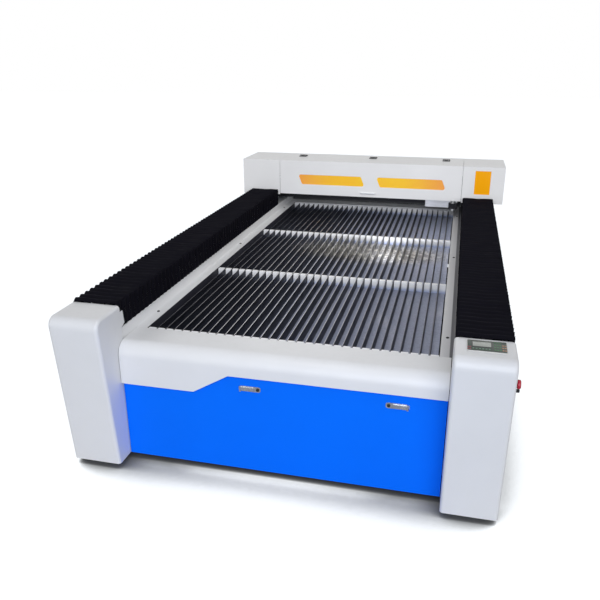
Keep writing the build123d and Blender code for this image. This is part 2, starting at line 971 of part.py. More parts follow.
def lid_handle():
    bar = block(
        (-handle_width / 2, handle_width / 2),
        (gantry_front_y - handle_depth, gantry_front_y),
        (handle_height - handle_thickness / 2, handle_height + handle_thickness / 2),
    )
    front_edges = bar.edges().filter_by(Axis.Z).group_by(Axis.Y)[0]
    return fillet(front_edges, handle_depth * 2 / 3)


# Cross axis and laser head
def x_rail():
    return block(
        (-x_rail_half, x_rail_half),
        (cross_beam_y - x_rail_size, cross_beam_y),
        (x_rail_height, x_rail_height + x_rail_size),
    )


def cross_belt():
    loop = belt_loop(x_pulley_radius + belt_clearance, x_belt_thickness, -x_pulley_x, x_pulley_x)
    face_plane = Plane(
        origin=(0, x_belt_y + x_belt_width, x_pulley_height), x_dir=(1, 0, 0), z_dir=(0, -1, 0)
    )
    return extrude(face_plane * loop, x_belt_width)


def x_wheel(x):
    wheel = Cylinder(x_pulley_radius, x_belt_width + belt_side_play)
    return Pos(x, x_belt_y + x_belt_width / 2, x_pulley_height) * Rot(90, 0, 0) * wheel


def x_drive_pulley():
    return x_wheel(x_pulley_x) + rod_y(
        x_shaft_radius, x_belt_y, x_motor_y + x_motor_length / 2, x_pulley_x, x_pulley_height
    )


def x_idler_pulley():
    bore = rod_y(
        x_shaft_radius + running_clearance,
        x_belt_y - x_belt_width,
        x_belt_y + 2 * x_belt_width,
        -x_pulley_x,
        x_pulley_height,
    )
    return x_wheel(-x_pulley_x) - bore


def x_motor():
    half = x_motor_size / 2
    body = block(
        (x_pulley_x - half, x_pulley_x + half),
        (x_motor_y, x_motor_y + x_motor_length),
        (cross_beam_top, cross_beam_top + x_motor_size),
    )
    body = chamfer(body.edges().filter_by(Axis.Y), half / 6)
    bore = rod_y(
        x_shaft_radius + running_clearance,
        x_motor_y - overcut,
        x_motor_y + x_motor_length / 2 + overcut,
        x_pulley_x,
        x_pulley_height,
    )
    return body - bore


def head_carriage():
    """Plate on the cross rail, with its rail block and the arm that grips the belt."""
    plate_y = (head_plate_front_y, head_plate_front_y + head_plate)
    plate = block((head_left_x, head_right_x), plate_y, (head_low, head_top))
    rail_mid = x_rail_height + x_rail_size / 2
    runner = block(
        (head_block_x - head_block_length / 2, head_block_x + head_block_length / 2),
        (plate_y[1], cross_beam_y - seam_gap),
        (rail_mid - head_block_height / 2, rail_mid + head_block_height / 2),
    )
    channel = block(
        (head_block_x - head_block_length, head_block_x + head_block_length),
        (cross_beam_y - x_rail_size - rail_clearance, cross_beam_y),
        (x_rail_height - rail_clearance, x_rail_height + x_rail_size + rail_clearance),
    )
    arm = block(
        (head_block_x - head_arm_width / 2, head_block_x + head_arm_width / 2),
        (plate_y[0], plate_y[0] + head_arm_reach),
        (head_top - head_arm_thickness, head_top),
    )
    strand_high = x_pulley_height - x_pulley_radius - belt_clearance
    strand = block(
        (head_block_x - head_arm_width, head_block_x + head_arm_width),
        (x_belt_y - belt_clearance, x_belt_y + x_belt_width + belt_clearance),
        (strand_high - x_belt_thickness - belt_clearance, strand_high + belt_clearance),
    )
    return plate + (runner - channel) + (arm - strand)


def lens_holder():
    body = block(
        (head_right_x - holder_width, head_right_x),
        (holder_front_y, head_plate_front_y),
        (head_low, head_low + holder_height),
    )
    body = chamfer(body.edges().filter_by(Axis.Z).group_by(Axis.Y)[0], holder_width / 18)
    bore = rod_z(
        lens_radius + running_clearance,
        head_low - overcut,
        head_low + holder_height + overcut,
        lens_x,
        lens_y,
    )
    return body - bore


def lens_tube():
    barrel_low = nozzle_tip + nozzle_cone
    barrel = rod_z(lens_radius, barrel_low, lens_top, lens_x, lens_y)
    cone = Pos(lens_x, lens_y, nozzle_tip + nozzle_cone / 2) * Cone(
        nozzle_tip_radius, lens_radius * 2 / 3, nozzle_cone
    )
    return barrel + cone


# Laser tube
def laser_tube():
    half = laser_length / 2
    glass = rod_x(laser_radius, -half, half, laser_y, laser_height)
    necks = rod_x(
        laser_neck_radius, -half - laser_neck_length, half + laser_neck_length, laser_y, laser_height
    )
    return glass + necks


def tube_clamp(x):
    half = laser_radius + clamp_wall
    body = block(
        (x - clamp_width / 2, x + clamp_width / 2),
        (laser_y - half, laser_y + half),
        (gantry_bottom + sheet, laser_height + half),
    )
    bore = rod_x(laser_radius + clamp_clearance, x - clamp_width, x + clamp_width, laser_y, laser_height)
    return body - bore


# Front door and its latches
def front_door():
    """Pan with side and top folds, a stepped top edge and hinge lugs behind the lower edge."""

    def outline(inset, low):
        return [
            (inset - door_half, low),
            (door_half - inset, low),
            (door_half - inset, door_high_top - inset),
            (door_step_end_x + inset / 2, door_high_top - inset),
            (door_step_start_x + inset / 2, door_low_top - inset),
            (inset - door_half, door_low_top - inset),
        ]

    pan = prism_y(outline(0, door_bottom), door_plane_y, door_plane_y + door_depth)
    hollow = prism_y(
        outline(sheet, door_bottom - overcut), door_plane_y + sheet, door_plane_y + door_depth + overcut
    )
    door = pan - hollow
    for x in (-door_hinge_x, door_hinge_x):
        for side in (-1, 1):
            near = side * (door_barrel_length / 2 + door_barrel_play)
            far = near + side * door_lug_length
            span = sorted((x + near, x + far))
            door = door + block(
                span,
                (door_plane_y + sheet, door_hinge_y + door_barrel_radius),
                (door_hinge_height - door_barrel_radius, door_hinge_height + door_barrel_radius),
            )
        reach = door_barrel_length / 2 + door_barrel_play + door_lug_length
        door = door + rod_x(door_pin_radius, x - reach, x + reach, door_hinge_y, door_hinge_height)
    for index in (0, 1):
        door = door - rod_y(
            latch_button_radius + overcut,
            door_plane_y - overcut,
            door_plane_y + sheet + overcut,
            button_x(index),
            latch_height,
        )
    return door


def door_hinge_arm(x):
    """Fixed barrel on an arm that runs back under the cabinet to the first cross tube."""
    half = door_barrel_length / 2
    arm_high = door_hinge_height + door_pin_radius / 2
    cross_tube_y = comb_ys[0] + comb_thickness / 2 - tube / 2
    arm = block(
        (x - half, x + half),
        (door_hinge_y, cross_tube_y),
        (door_hinge_height - door_pin_radius / 2, arm_high),
    )
    barrel = rod_x(door_barrel_radius, x - half, x + half, door_hinge_y, door_hinge_height)
    bore = rod_x(
        door_pin_radius + running_clearance,
        x - half - overcut,
        x + half + overcut,
        door_hinge_y,
        door_hinge_height,
    )
    return arm + barrel - bore


def latch_side(index):
    """The push button is at the end that faces the door's middle."""
    return 1 if index == 0 else -1


def button_x(index):
    return latch_x[index] + latch_side(index) * (latch_length / 2 - latch_button_inset)


def paddle_pin_x(index):
    return latch_x[index] - latch_side(index) * (latch_length / 2 - 2 * paddle_knuckle_radius)


def paddle_pin_y():
    return door_plane_y - latch_plate - paddle_knuckle_radius - paddle_gap


def latch_body(index):
    """Oblong plate on the door with two lugs that hold the paddle's pin."""
    x = latch_x[index]
    plate = block(
        (x - latch_length / 2, x + latch_length / 2),
        (door_plane_y - latch_plate, door_plane_y),
        (latch_height - latch_width / 2, latch_height + latch_width / 2),
    )
    plate = chamfer(plate.edges().filter_by(Axis.Y), latch_width / 4)
    pin_x = paddle_pin_x(index)
    lug_low = paddle_width / 2 + paddle_side_gap
    lug_high = latch_width / 2
    for side in (-1, 1):
        z_span = sorted((latch_height + side * lug_low, latch_height + side * lug_high))
        plate = plate + block(
            (pin_x - paddle_knuckle_radius, pin_x + paddle_knuckle_radius),
            (paddle_pin_y() - paddle_knuckle_radius, door_plane_y - latch_plate),
            z_span,
        )
    plate = plate + rod_z(
        paddle_pin_radius, latch_height - lug_high, latch_height + lug_high, pin_x, paddle_pin_y()
    )
    bore = rod_y(
        latch_button_radius + running_clearance,
        door_plane_y - latch_plate - overcut,
        door_plane_y + overcut,
        button_x(index),
        latch_height,
    )
    return plate - bore


def latch_paddle(index):
    pin_x = paddle_pin_x(index)
    reach = latch_side(index) * paddle_length
    face_y = paddle_pin_y() + paddle_knuckle_radius - paddle_thickness
    grip = block(
        sorted((pin_x, pin_x + reach)),
        (face_y, face_y + paddle_thickness),
        (latch_height - paddle_width / 2, latch_height + paddle_width / 2),
    )
    knuckle = rod_z(
        paddle_knuckle_radius,
        latch_height - paddle_width / 2,
        latch_height + paddle_width / 2,
        pin_x,
        paddle_pin_y(),
    )
    bore = rod_z(
        paddle_pin_radius + running_clearance,
        latch_height - paddle_width,
        latch_height + paddle_width,
        pin_x,
        paddle_pin_y(),
    )
    return grip + knuckle - bore


def latch_button(index):
    front = door_plane_y - latch_plate - latch_button_proud
    return rod_y(latch_button_radius, front, door_plane_y, button_x(index), latch_height)


# Controls
def control_panel():
    """Plate on the pod's top with a recessed screen and raised keys."""
    top = pod_height + panel_thickness
    plate = block(
        (panel_x - panel_width / 2, panel_x + panel_width / 2),
        (panel_y - panel_depth / 2, panel_y + panel_depth / 2),
        (pod_height, top),
    )
    plate = fillet(plate.edges().filter_by(Axis.Z), panel_thickness)
    screen_x = panel_x - panel_width / 4
    plate = plate - block(
        (screen_x - screen_width / 2, screen_x + screen_width / 2),
        (panel_y - screen_depth / 4, panel_y + screen_depth * 3 / 4),
        (top - screen_recess, top),
    )
    for column in range(key_columns):
        for row in range(key_rows):
            x = panel_x + panel_width / 8 + column * key_pitch
            y = panel_y + (row - (key_rows - 1) / 2) * key_row_pitch
            key = Pos(x, y, top + key_height / 2) * Box(key_size, key_size, key_height)
            plate = plate + key
    return plate


def stop_collar():
    collar = rod_x(stop_collar_radius, pod_outer_x, pod_outer_x + stop_collar_height, stop_y, stop_height)
    bore = rod_x(
        stop_stem_radius + running_clearance,
        pod_outer_x - overcut,
        pod_outer_x + stop_collar_height + overcut,
        stop_y,
        stop_height,
    )
    return collar - bore


def stop_button():
    head_x = pod_outer_x + stop_collar_height + stop_travel + stop_rest_gap
    head = rod_x(stop_head_radius, head_x, head_x + stop_head_height, stop_y, stop_height)
    stem = rod_x(stop_stem_radius, pod_outer_x - casing_wall, head_x, stop_y, stop_height)
    return head + stem


def key_switch():
    """Round barrel through the pod's wall with the bow of its key."""
    height = stop_height - key_height_below_stop
    face_x = pod_outer_x + key_barrel_proud
    barrel = rod_x(key_barrel_radius, pod_outer_x - 2 * casing_wall, face_x, stop_y, height)
    bow = block(
        (face_x, face_x + key_bow_reach),
        (stop_y - key_bow_thickness / 2, stop_y + key_bow_thickness / 2),
        (height - key_bow_width / 2, height + key_bow_width / 2),
    )
    return barrel + fillet(bow.edges().filter_by(Axis.Y).group_by(Axis.X)[-1], key_bow_width / 4)


# Write the nodes
save("base_frame", *frame_tubes())
save("levelling_feet", *levelling_feet())
save("side_beams", *both_sides(side_beam()))
save("front_pod_right", pod(outer_wall_holes=True))
save("front_pod_left", mirrored(pod()))
save("apron", apron())
save("side_rims", *both_sides(side_rim()))
save("rear_rim", rear_rim())
save("side_panels", *both_sides(side_panel()))
save("rear_cap_right", rear_cap())
save("rear_cap_left", mirrored(rear_cap()))
save("rear_panel", rear_panel())
save("shaft_cover", shaft_cover())
save("comb_bars", *[comb_bar(y) for y in comb_ys])
save("blade_slats", *[slat(x) for x in slat_xs])
save("debris_trays", *[debris_tray(y) for y in comb_ys[:-1]])
front_bellows = bellows(pod_depth, gantry_front_y - gantry_seal_gap)
rear_bellows = bellows(gantry_rear_y + gantry_seal_gap, rear_cap_front_y)
save("front_bellows_right", front_bellows)
save("front_bellows_left", mirrored(front_bellows))
save("rear_bellows_right", rear_bellows)
save("rear_bellows_left", mirrored(rear_bellows))
save("linear_rails", *both_sides(linear_rail()))
save("long_belts", *both_sides(long_belt()))
save("idler_brackets", *both_sides(idler_bracket()))
save("idler_pulleys", *both_sides(idler_pulley()))
save("shaft_bearings", shaft_bearing(-bearing_x), shaft_bearing(bearing_x))
save("drive_motor", drive_motor())
save("drive_shaft", drive_shaft())
save("cross_beam", cross_beam())
save("gantry_feet", *both_sides(gantry_foot()))
block_ys = [foot_plate_front + foot_plate_length / 2 + side * block_spacing / 2 for side in (-1, 1)]
save("rail_blocks", *[solid for y in block_ys for solid in both_sides(rail_block(y))])
save("gantry_end_right", gantry_end(with_window=True))
save("gantry_end_left", mirrored(gantry_end(with_window=False)))
save("gantry_back_cover", gantry_back_cover())
save("end_window", end_window())
save("lid_cover", lid_cover())
save("lid_windows", lid_pane(-1), lid_pane(1))
save("lid_hinge_leaves", *[hinge_leaf(x, moving=True) for x in lid_hinge_x])
save("lid_hinge_bases", *[hinge_leaf(x, moving=False) for x in lid_hinge_x])
save("lid_handle", lid_handle())
save("x_rail", x_rail())
save("cross_belt", cross_belt())
save("x_drive_pulley", x_drive_pulley())
save("x_idler_pulley", x_idler_pulley())
save("x_motor", x_motor())
save("head_carriage", head_carriage())
save("lens_holder", lens_holder())
save("lens_tube", lens_tube())
save("laser_tube", laser_tube())
save("tube_clamps", tube_clamp(-clamp_x), tube_clamp(clamp_x))
save("front_door", front_door())
save("door_hinge_arms", door_hinge_arm(-door_hinge_x), door_hinge_arm(door_hinge_x))
save("latch_bodies", latch_body(0), latch_body(1))
save("latch_paddle_left", latch_paddle(0))
save("latch_paddle_right", latch_paddle(1))
save("latch_button_left", latch_button(0))
save("latch_button_right", latch_button(1))
save("control_panel", control_panel())
save("stop_collar", stop_collar())
save("stop_button", stop_button())
save("key_switch", key_switch())
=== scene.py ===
"""Looks of a flat-bed laser cutting machine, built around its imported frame."""

import json
import math

import bmesh
import bpy
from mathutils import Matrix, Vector


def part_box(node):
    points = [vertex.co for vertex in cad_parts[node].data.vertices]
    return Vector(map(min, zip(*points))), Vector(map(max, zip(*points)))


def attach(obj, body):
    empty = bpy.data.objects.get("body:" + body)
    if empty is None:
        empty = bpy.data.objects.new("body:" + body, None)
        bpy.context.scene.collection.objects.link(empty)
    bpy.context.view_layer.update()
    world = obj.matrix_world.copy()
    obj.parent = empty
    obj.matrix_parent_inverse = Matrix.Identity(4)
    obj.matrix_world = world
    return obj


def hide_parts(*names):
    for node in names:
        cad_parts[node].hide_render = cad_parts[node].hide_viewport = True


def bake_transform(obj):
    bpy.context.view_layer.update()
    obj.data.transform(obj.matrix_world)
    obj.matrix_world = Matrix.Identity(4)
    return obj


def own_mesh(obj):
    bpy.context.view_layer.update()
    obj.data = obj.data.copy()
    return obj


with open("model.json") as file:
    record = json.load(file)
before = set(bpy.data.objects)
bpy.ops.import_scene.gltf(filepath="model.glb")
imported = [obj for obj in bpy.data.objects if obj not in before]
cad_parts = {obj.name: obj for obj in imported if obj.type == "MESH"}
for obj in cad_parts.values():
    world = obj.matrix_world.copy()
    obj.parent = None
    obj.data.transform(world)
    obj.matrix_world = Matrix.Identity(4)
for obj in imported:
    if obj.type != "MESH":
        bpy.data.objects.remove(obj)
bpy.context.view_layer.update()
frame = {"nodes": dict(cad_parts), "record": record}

bl_info = {
    "name": "Flat-bed laser cutter",
    "version": (1, 0, 0),
    "blender": (4, 5, 0),
    "location": "View3D > Sidebar > Laser cutter",
    "description": "Dresses the packed frame of a flat-bed laser cutting machine",
    "category": "Add Mesh",
}


# Settings


def colour_setting(name, description, default):
    return bpy.props.FloatVectorProperty(
        name=name, description=description, default=default, subtype="COLOR", size=3, min=0, max=1
    )


def length_setting(name, description, default):
    return bpy.props.FloatProperty(
        name=name,
        description=description,
        default=default,
        min=0,
        unit="LENGTH",
        subtype="DISTANCE",
    )


class LaserCutterColours(bpy.types.PropertyGroup):
    """Colours of the machine's finishes."""

    white_paint: colour_setting(
        "White paint", "Cladding of the cabinet and the gantry", (0.80, 0.80, 0.81)
    )
    blue_paint: colour_setting("Blue paint", "Front door", (0.0, 0.165, 1.0))
    amber: colour_setting("Amber acrylic", "Windows of the gantry", (1.0, 0.56, 0.035))
    cloth: colour_setting("Bellows cloth", "Pleated covers", (0.0043, 0.0041, 0.0068))
    tray: colour_setting("Tray metal", "Sheets under the slats", (0.27, 0.295, 0.40))
    slat: colour_setting("Slat metal", "Sides of the knife slats", (0.034, 0.036, 0.050))


class LaserCutterSizes(bpy.types.PropertyGroup):
    """Sizes of the soft and small pieces."""

    pleats: bpy.props.IntProperty(
        name="Pleats", description="Folds in each bellows", default=62, min=4
    )
    pleat_depth: length_setting(
        "Pleat depth", "Outer fold to inner fold of the drawn-out covers", 0.010
    )
    packed_depth: length_setting(
        "Packed pleat depth", "Outer fold to inner fold of the packed covers", 0.022
    )
    bellows_corner: length_setting("Bellows corner", "Rounding of the bellows' top edges", 0.010)
    bellows_sag: length_setting("Bellows sag", "How far the cloth sinks between its edges", 0.0025)


class LaserCutterStage(bpy.types.PropertyGroup):
    """Camera and lamps."""

    lens: bpy.props.FloatProperty(
        name="Lens", description="Focal length", default=39.006, unit="CAMERA"
    )
    camera_turn: bpy.props.FloatProperty(
        name="Camera turn",
        description="Turn to the left",
        default=math.radians(13.66),
        subtype="ANGLE",
    )
    camera_tilt: bpy.props.FloatProperty(
        name="Camera tilt",
        description="Angle from straight down",
        default=math.radians(69.37),
        subtype="ANGLE",
    )
    room_light: bpy.props.FloatProperty(
        name="Room light", description="Even light from all round", default=0.28
    )
    front_light: bpy.props.FloatProperty(
        name="Front light", description="Wide soft light from over the camera", default=1.75
    )


def colours():
    return bpy.context.scene.laser_cutter_colours


def sizes():
    return bpy.context.scene.laser_cutter_sizes


def stage_settings():
    return bpy.context.scene.laser_cutter_stage


# Shader tools

X, Y, Z = 0, 1, 2
# Sockets of a Mix node that mixes colours
MIX_FACTOR, MIX_FIRST, MIX_SECOND, MIX_RESULT = 0, 6, 7, 2


class Value:
    """A socket that takes Python arithmetic; each sign adds a Math node."""

    def __init__(self, shader, socket):
        self.shader = shader
        self.socket = socket

    def maths(self, operation, other):
        return self.shader.value("ShaderNodeMath", {"operation": operation}, {0: self, 1: other})

    def __add__(self, other):
        return self.maths("ADD", other)

    def __sub__(self, other):
        return self.maths("SUBTRACT", other)

    def __rsub__(self, other):
        return self.shader.value("ShaderNodeMath", {"operation": "SUBTRACT"}, {0: other, 1: self})

    def __mul__(self, other):
        return self.maths("MULTIPLY", other)

    def __pow__(self, other):
        return self.maths("POWER", other)

    def __gt__(self, other):
        return self.maths("GREATER_THAN", other)

    def __lt__(self, other):
        return self.maths("LESS_THAN", other)

    __radd__ = __add__
    __rmul__ = __mul__

    def ramp(self, low, high):
        """Carried smoothly from its own range to 0 to 1, and held at the ends."""
        return self.shader.value(
            "ShaderNodeMapRange",
            {"interpolation_type": "SMOOTHSTEP"},
            {"Value": self, "From Min": low, "From Max": high},
            "Result",
        )


class Shader:
    """One material's nodes round a Principled shader."""

    def __init__(self, name, **constants):
        self.material = bpy.data.materials.new(name)
        self.material.use_nodes = True
        self.nodes = self.material.node_tree.nodes
        self.links = self.material.node_tree.links
        self.surface = self.nodes["Principled BSDF"]
        for socket, value in constants.items():
            self.surface.inputs[socket.replace("_", " ")].default_value = value

    def node(self, kind, settings=None, inputs=None):
        node = self.nodes.new(kind)
        for key, value in (settings or {}).items():
            setattr(node, key, value)
        for key, value in (inputs or {}).items():
            self.plug(node, key, value)
        return node

    def plug(self, node, key, value):
        """Link an input to a socket, or set it to a plain value."""
        if isinstance(value, Value):
            value = value.socket
        if isinstance(value, bpy.types.NodeSocket):
            self.links.new(value, node.inputs[key])
        else:
            node.inputs[key].default_value = value

    def value(self, kind, settings=None, inputs=None, output=0):
        return Value(self, self.node(kind, settings, inputs).outputs[output])

    def place(self, axis=None):
        """Object coordinates, or one of them."""
        point = self.node("ShaderNodeTexCoord").outputs["Object"]
        return point if axis is None else self.component(point, axis)

    def facing(self, axis):
        """The surface's direction along an axis, in the machine's own frame."""
        normal = self.node("ShaderNodeNewGeometry").outputs["Normal"]
        return self.component(normal, axis)

    def component(self, vector, axis):
        return Value(self, self.node("ShaderNodeSeparateXYZ", inputs={0: vector}).outputs[axis])

    def stretched(self, scale):
        """Object coordinates drawn out along an axis, for brushed and streaked finishes."""
        inputs = {"Vector": self.place(), "Scale": scale}
        return self.value("ShaderNodeMapping", inputs=inputs).socket

    def noise(self, scale, detail=3.0, roughness=0.5, vector=None):
        """Cloudy pattern from 0 to 1, even in all directions unless given other coordinates."""
        inputs = {
            "Vector": vector or self.place(),
            "Scale": scale,
            "Detail": detail,
            "Roughness": roughness,
        }
        return self.value("ShaderNodeTexNoise", inputs=inputs)

    def cells(self, scale, **settings):
        """Distance to the nearest cell's middle, for spangle and weave."""
        inputs = {"Vector": self.place(), "Scale": scale}
        return self.value("ShaderNodeTexVoronoi", settings, inputs, "Distance")

    def attribute(self, name):
        return self.value("ShaderNodeAttribute", {"attribute_name": name}, output="Fac")

    def blended(self, factor, first, second):
        """Colour between two colours, each a tuple or a socket."""
        mix = self.node("ShaderNodeMix", {"data_type": "RGBA"}, {MIX_FACTOR: factor})
        for key, colour in ((MIX_FIRST, first), (MIX_SECOND, second)):
            self.plug(mix, key, (*colour, 1) if isinstance(colour, tuple) else colour)
        return mix.outputs[MIX_RESULT]

    def feed(self, socket, source):
        self.plug(self.surface, socket, source)

    def bump(self, height, strength, distance=0.001):
        inputs = {"Height": height, "Strength": strength, "Distance": distance}
        self.feed("Normal", self.node("ShaderNodeBump", inputs=inputs).outputs[0])


def shade(colour, factor):
    return tuple(min(1.0, channel * factor) for channel in colour)


# Finishes


def mottled(shader, colour):
    """Slow change of a paint's tone: its share, and its colour."""
    cloudy = shader.noise(2.2, 4).ramp(0.3, 0.7)
    return cloudy, shader.blended(cloudy, shade(colour, 0.965), shade(colour, 1.015))


def orange_peel(shader):
    shader.bump(shader.noise(650, 2), 0.05, 0.0006)


def paint_finish(name, colour, gloss=0.36, coat=0.2, specular=0.4):
    """Powder coat: fine orange peel, slow change of tone and a little dust on top faces."""
    shader = Shader(
        name, Metallic=0.0, Coat_Weight=coat, Coat_Roughness=0.18, Specular_IOR_Level=specular
    )
    tone = mottled(shader, colour)[1]
    dust = shader.noise(38, 6, 0.62).ramp(0.45, 0.8) * shader.facing(Z).ramp(0.6, 1.0)
    shader.feed("Base Color", shader.blended(dust * 0.08, tone, (0.55, 0.54, 0.52)))
    shader.feed("Roughness", gloss + shader.noise(24, 3) * 0.08 + dust * 0.12)
    orange_peel(shader)
    return shader.material


def metal_finish(name, colour, rough, grain=(1, 1, 1), grain_scale=90, depth=0.08):
    """Bare metal with brushed grain and slow stains."""
    shader = Shader(name, Metallic=1.0)
    grainy = shader.noise(grain_scale, 6, 0.6, shader.stretched(grain))
    stain = shader.noise(5, 5, 0.6).ramp(0.35, 0.75)
    shader.feed("Base Color", shader.blended(stain, shade(colour, 0.82), colour))
    shader.feed("Roughness", rough + grainy * 0.16 + stain * 0.06)
    shader.bump(grainy, depth, 0.0005)
    return shader.material


def plastic_finish(name, colour, rough, texture=900, depth=0.12):
    """Moulded plastic with a fine spark-eroded texture."""
    shader = Shader(name, Metallic=0.0, Specular_IOR_Level=0.5)
    wear_and_shade = shader.noise(30, 5, 0.6).ramp(0.5, 0.85)
    pale = tuple(0.85 * channel + 0.03 for channel in colour)
    shader.feed("Base Color", shader.blended(wear_and_shade * 0.35, colour, pale))
    shader.feed("Roughness", rough + wear_and_shade * 0.1)
    shader.bump(shader.noise(texture, 3), depth, 0.0003)
    return shader.material


def comb_finish():
    """White bars, with painted bluish shade on the lower part that faces the sheets below."""
    shader = Shader("comb_paint", Metallic=0.0, Specular_IOR_Level=0.4)
    # painted shade: the lower part of each bar is painted bluish
    height = shader.place(Z).ramp(0.606, 0.640)
    shader.feed("Base Color", shader.blended(height, (0.50, 0.58, 0.80), (0.90, 0.90, 0.92)))
    shader.feed("Roughness", 0.42 + shader.noise(60, 4) * 0.12)
    shader.bump(shader.noise(500, 2), 0.06, 0.0005)
    return shader.material


def rim_finish(colour):
    """White rims with painted shade: dark inner walls at the bed, greyer at the right, and a dark
    gap at their foot.
    """
    shader = Shader("rim_paint", Metallic=0.0, Specular_IOR_Level=0.3)
    below_step = 0.6665
    # painted shade: the left rim's lower inner wall, facing the bed, is painted nearly black
    inner = shader.facing(X).ramp(0.35, 0.85)
    inner = inner * (shader.place(X) < 0) * (shader.place(Z) < below_step)
    # painted shade: the right rim is painted greyer, and darker still in the gap at its outer edge
    # by the bellows
    right = shader.place(X).ramp(0.70, 0.80)
    gap = shader.place(X).ramp(0.779, 0.785)
    cloudy, tone = mottled(shader, colour)
    painted_shade_tone = shader.blended(right * 0.55, tone, (0.38, 0.375, 0.40))
    painted_shade_tone = shader.blended(gap * 0.9, painted_shade_tone, (0.05, 0.05, 0.06))
    shader.feed("Base Color", shader.blended(inner, painted_shade_tone, (0.018, 0.018, 0.026)))
    shader.feed("Roughness", 0.46 + cloudy * 0.06)
    orange_peel(shader)
    return shader.material


PATCH_MIDDLE = (0.18, 0.23)
PATCH_FALL = (2.2, 9.0)  # how fast the patch fades across and along the bed


def scuffs_and_glare(shader):
    """Patch of the bed with bright and dark grinding marks and painted glare: its share, and its
    colour.
    """
    across, along = shader.place(X) - PATCH_MIDDLE[0], shader.place(Y) - PATCH_MIDDLE[1]
    far = across * across * PATCH_FALL[0] + along * along * PATCH_FALL[1]
    patch = 1 - far.ramp(0.10, 1.0)
    marks = shader.noise(30, 5, 0.7, shader.stretched((1, 0.5, 1))).ramp(0.46, 0.58)
    # painted glare: the bright marks stand for reflected light as well as for grinding marks
    return patch, shader.blended(marks, (0.22, 0.21, 0.19), (0.88, 0.85, 0.77))


def slat_finish(colour):
    """Drawn slats: dark sides with draw lines and a bright cutting edge, with painted shade that
    darkens the edge towards the right and at the far left.
    """
    shader = Shader("blade_metal")
    streak = shader.noise(60, 5, 0.6, shader.stretched((1, 0.02, 1)))
    edge = shader.facing(Z).ramp(0.5, 0.8)
    plain = shader.blended(streak, shade(colour, 0.7), shade(colour, 1.5))
    patch, marks = scuffs_and_glare(shader)
    side = shader.blended(patch * 0.6, plain, marks)
    burnt = shader.noise(9, 5, 0.65).ramp(0.42, 0.7)
    # painted shade: the top edges are painted dark towards the right and dimmer at the far left
    wear_and_shade = shader.place(X).ramp(-0.15, 0.55)
    bright = shader.blended(burnt, (0.97, 0.97, 0.98), (0.80, 0.79, 0.78))
    dim = shader.blended(shader.place(X).ramp(-0.74, -0.30), (0.24, 0.24, 0.26), bright)
    top = shader.blended(wear_and_shade, dim, (0.20, 0.20, 0.22))
    shader.feed("Base Color", shader.blended(edge, side, top))
    shader.feed("Metallic", 1 - patch * 0.7)
    shader.feed("Roughness", 0.34 + streak * 0.12 + burnt * 0.08)
    shader.bump(streak, 0.1, 0.0006)
    return shader.material


def tray_finish(colour):
    """Galvanised sheet with painted light that brightens it towards the rear, and a patch of
    bright grinding marks and painted glare near the middle.
    """
    shader = Shader("tray_metal", Metallic=0.2)
    spangle = shader.cells(90.0)
    patch, marks = scuffs_and_glare(shader)
    streak = shader.noise(5, 4, 0.6, shader.stretched((1, 0.25, 1))).ramp(0.52, 0.72)
    # painted light: the sheets are painted brighter towards the rear, where the gantry shades them
    painted_rear_light = shader.place(Y).ramp(-0.7, 0.5)
    ground = shader.blended(painted_rear_light, shade(colour, 1.25), shade(colour, 2.6))
    cool = shader.blended(spangle * 0.4, ground, shade(colour, 0.7))
    lined = shader.blended(streak * 0.5, cool, (0.72, 0.73, 0.82))
    shader.feed("Base Color", shader.blended(patch * 0.8, lined, marks))
    shader.feed("Roughness", 0.42 + spangle * 0.12 - patch * 0.12)
    shader.bump(spangle, 0.08, 0.002)
    return shader.material


def cloth_finish(colour):
    """Coated cloth: fine weave, paler along the folds."""
    shader = Shader("bellows_cloth", Metallic=0.0, Specular_IOR_Level=0.03)
    weave = shader.cells(420.0, distance="CHEBYCHEV")
    wear_and_shade = shader.noise(14, 5, 0.65).ramp(0.4, 0.8)
    folds = shader.attribute("fold").ramp(0.55, 1.0)
    cloth = shader.blended(wear_and_shade, colour, shade(colour, 1.5))
    shader.feed("Base Color", shader.blended(folds * 0.8, cloth, shade(colour, 1.9)))
    shader.feed("Roughness", 0.72 + wear_and_shade * 0.15)
    shader.bump(weave, 0.2, 0.0006)
    return shader.material


def acrylic_finish(name, colour):
    """Amber sheet, deeper orange towards the lid's ends and on the end window."""
    shader = Shader(
        name, Metallic=0.0, Coat_Weight=0.2, Coat_Roughness=0.08, Specular_IOR_Level=0.3
    )
    lid_end = 0.80
    across = shader.place(X)
    outer = (across * across).ramp(0.01, 0.46)
    cloudy = shader.noise(7, 4).ramp(0.3, 0.7)
    light = shader.blended(cloudy, colour, shade(colour, 1.08))
    lid_sheet = shader.blended(outer, light, (0.95, 0.38, 0.08))
    shader.feed("Base Color", shader.blended(across > lid_end, lid_sheet, (1.0, 0.42, 0.004)))
    shader.feed("Roughness", 0.12 + cloudy * 0.06)
    return shader.material


def glass_finish():
    """Clear glass with slight waves."""
    shader = Shader("laser_glass", Transmission_Weight=0.9, Roughness=0.03, IOR=1.47)
    shader.surface.inputs["Base Color"].default_value = (0.93, 0.97, 0.98, 1)
    shader.bump(shader.noise(30, 2), 0.02)
    return shader.material


def screen_finish():
    """Grey-green liquid crystal screen with faint rows."""
    shader = Shader("panel_screen", Coat_Weight=0.5, Coat_Roughness=0.08)
    rows = shader.value(
        "ShaderNodeTexWave",
        {"bands_direction": "Y"},
        {"Vector": shader.place(), "Scale": 38.0, "Distortion": 0.4},
        "Fac",
    ).ramp(0.3, 0.7)
    shader.feed("Base Color", shader.blended(rows * 0.55, (0.34, 0.36, 0.32), (0.16, 0.19, 0.17)))
    shader.feed("Roughness", 0.22 + shader.noise(80, 2) * 0.06)
    return shader.material


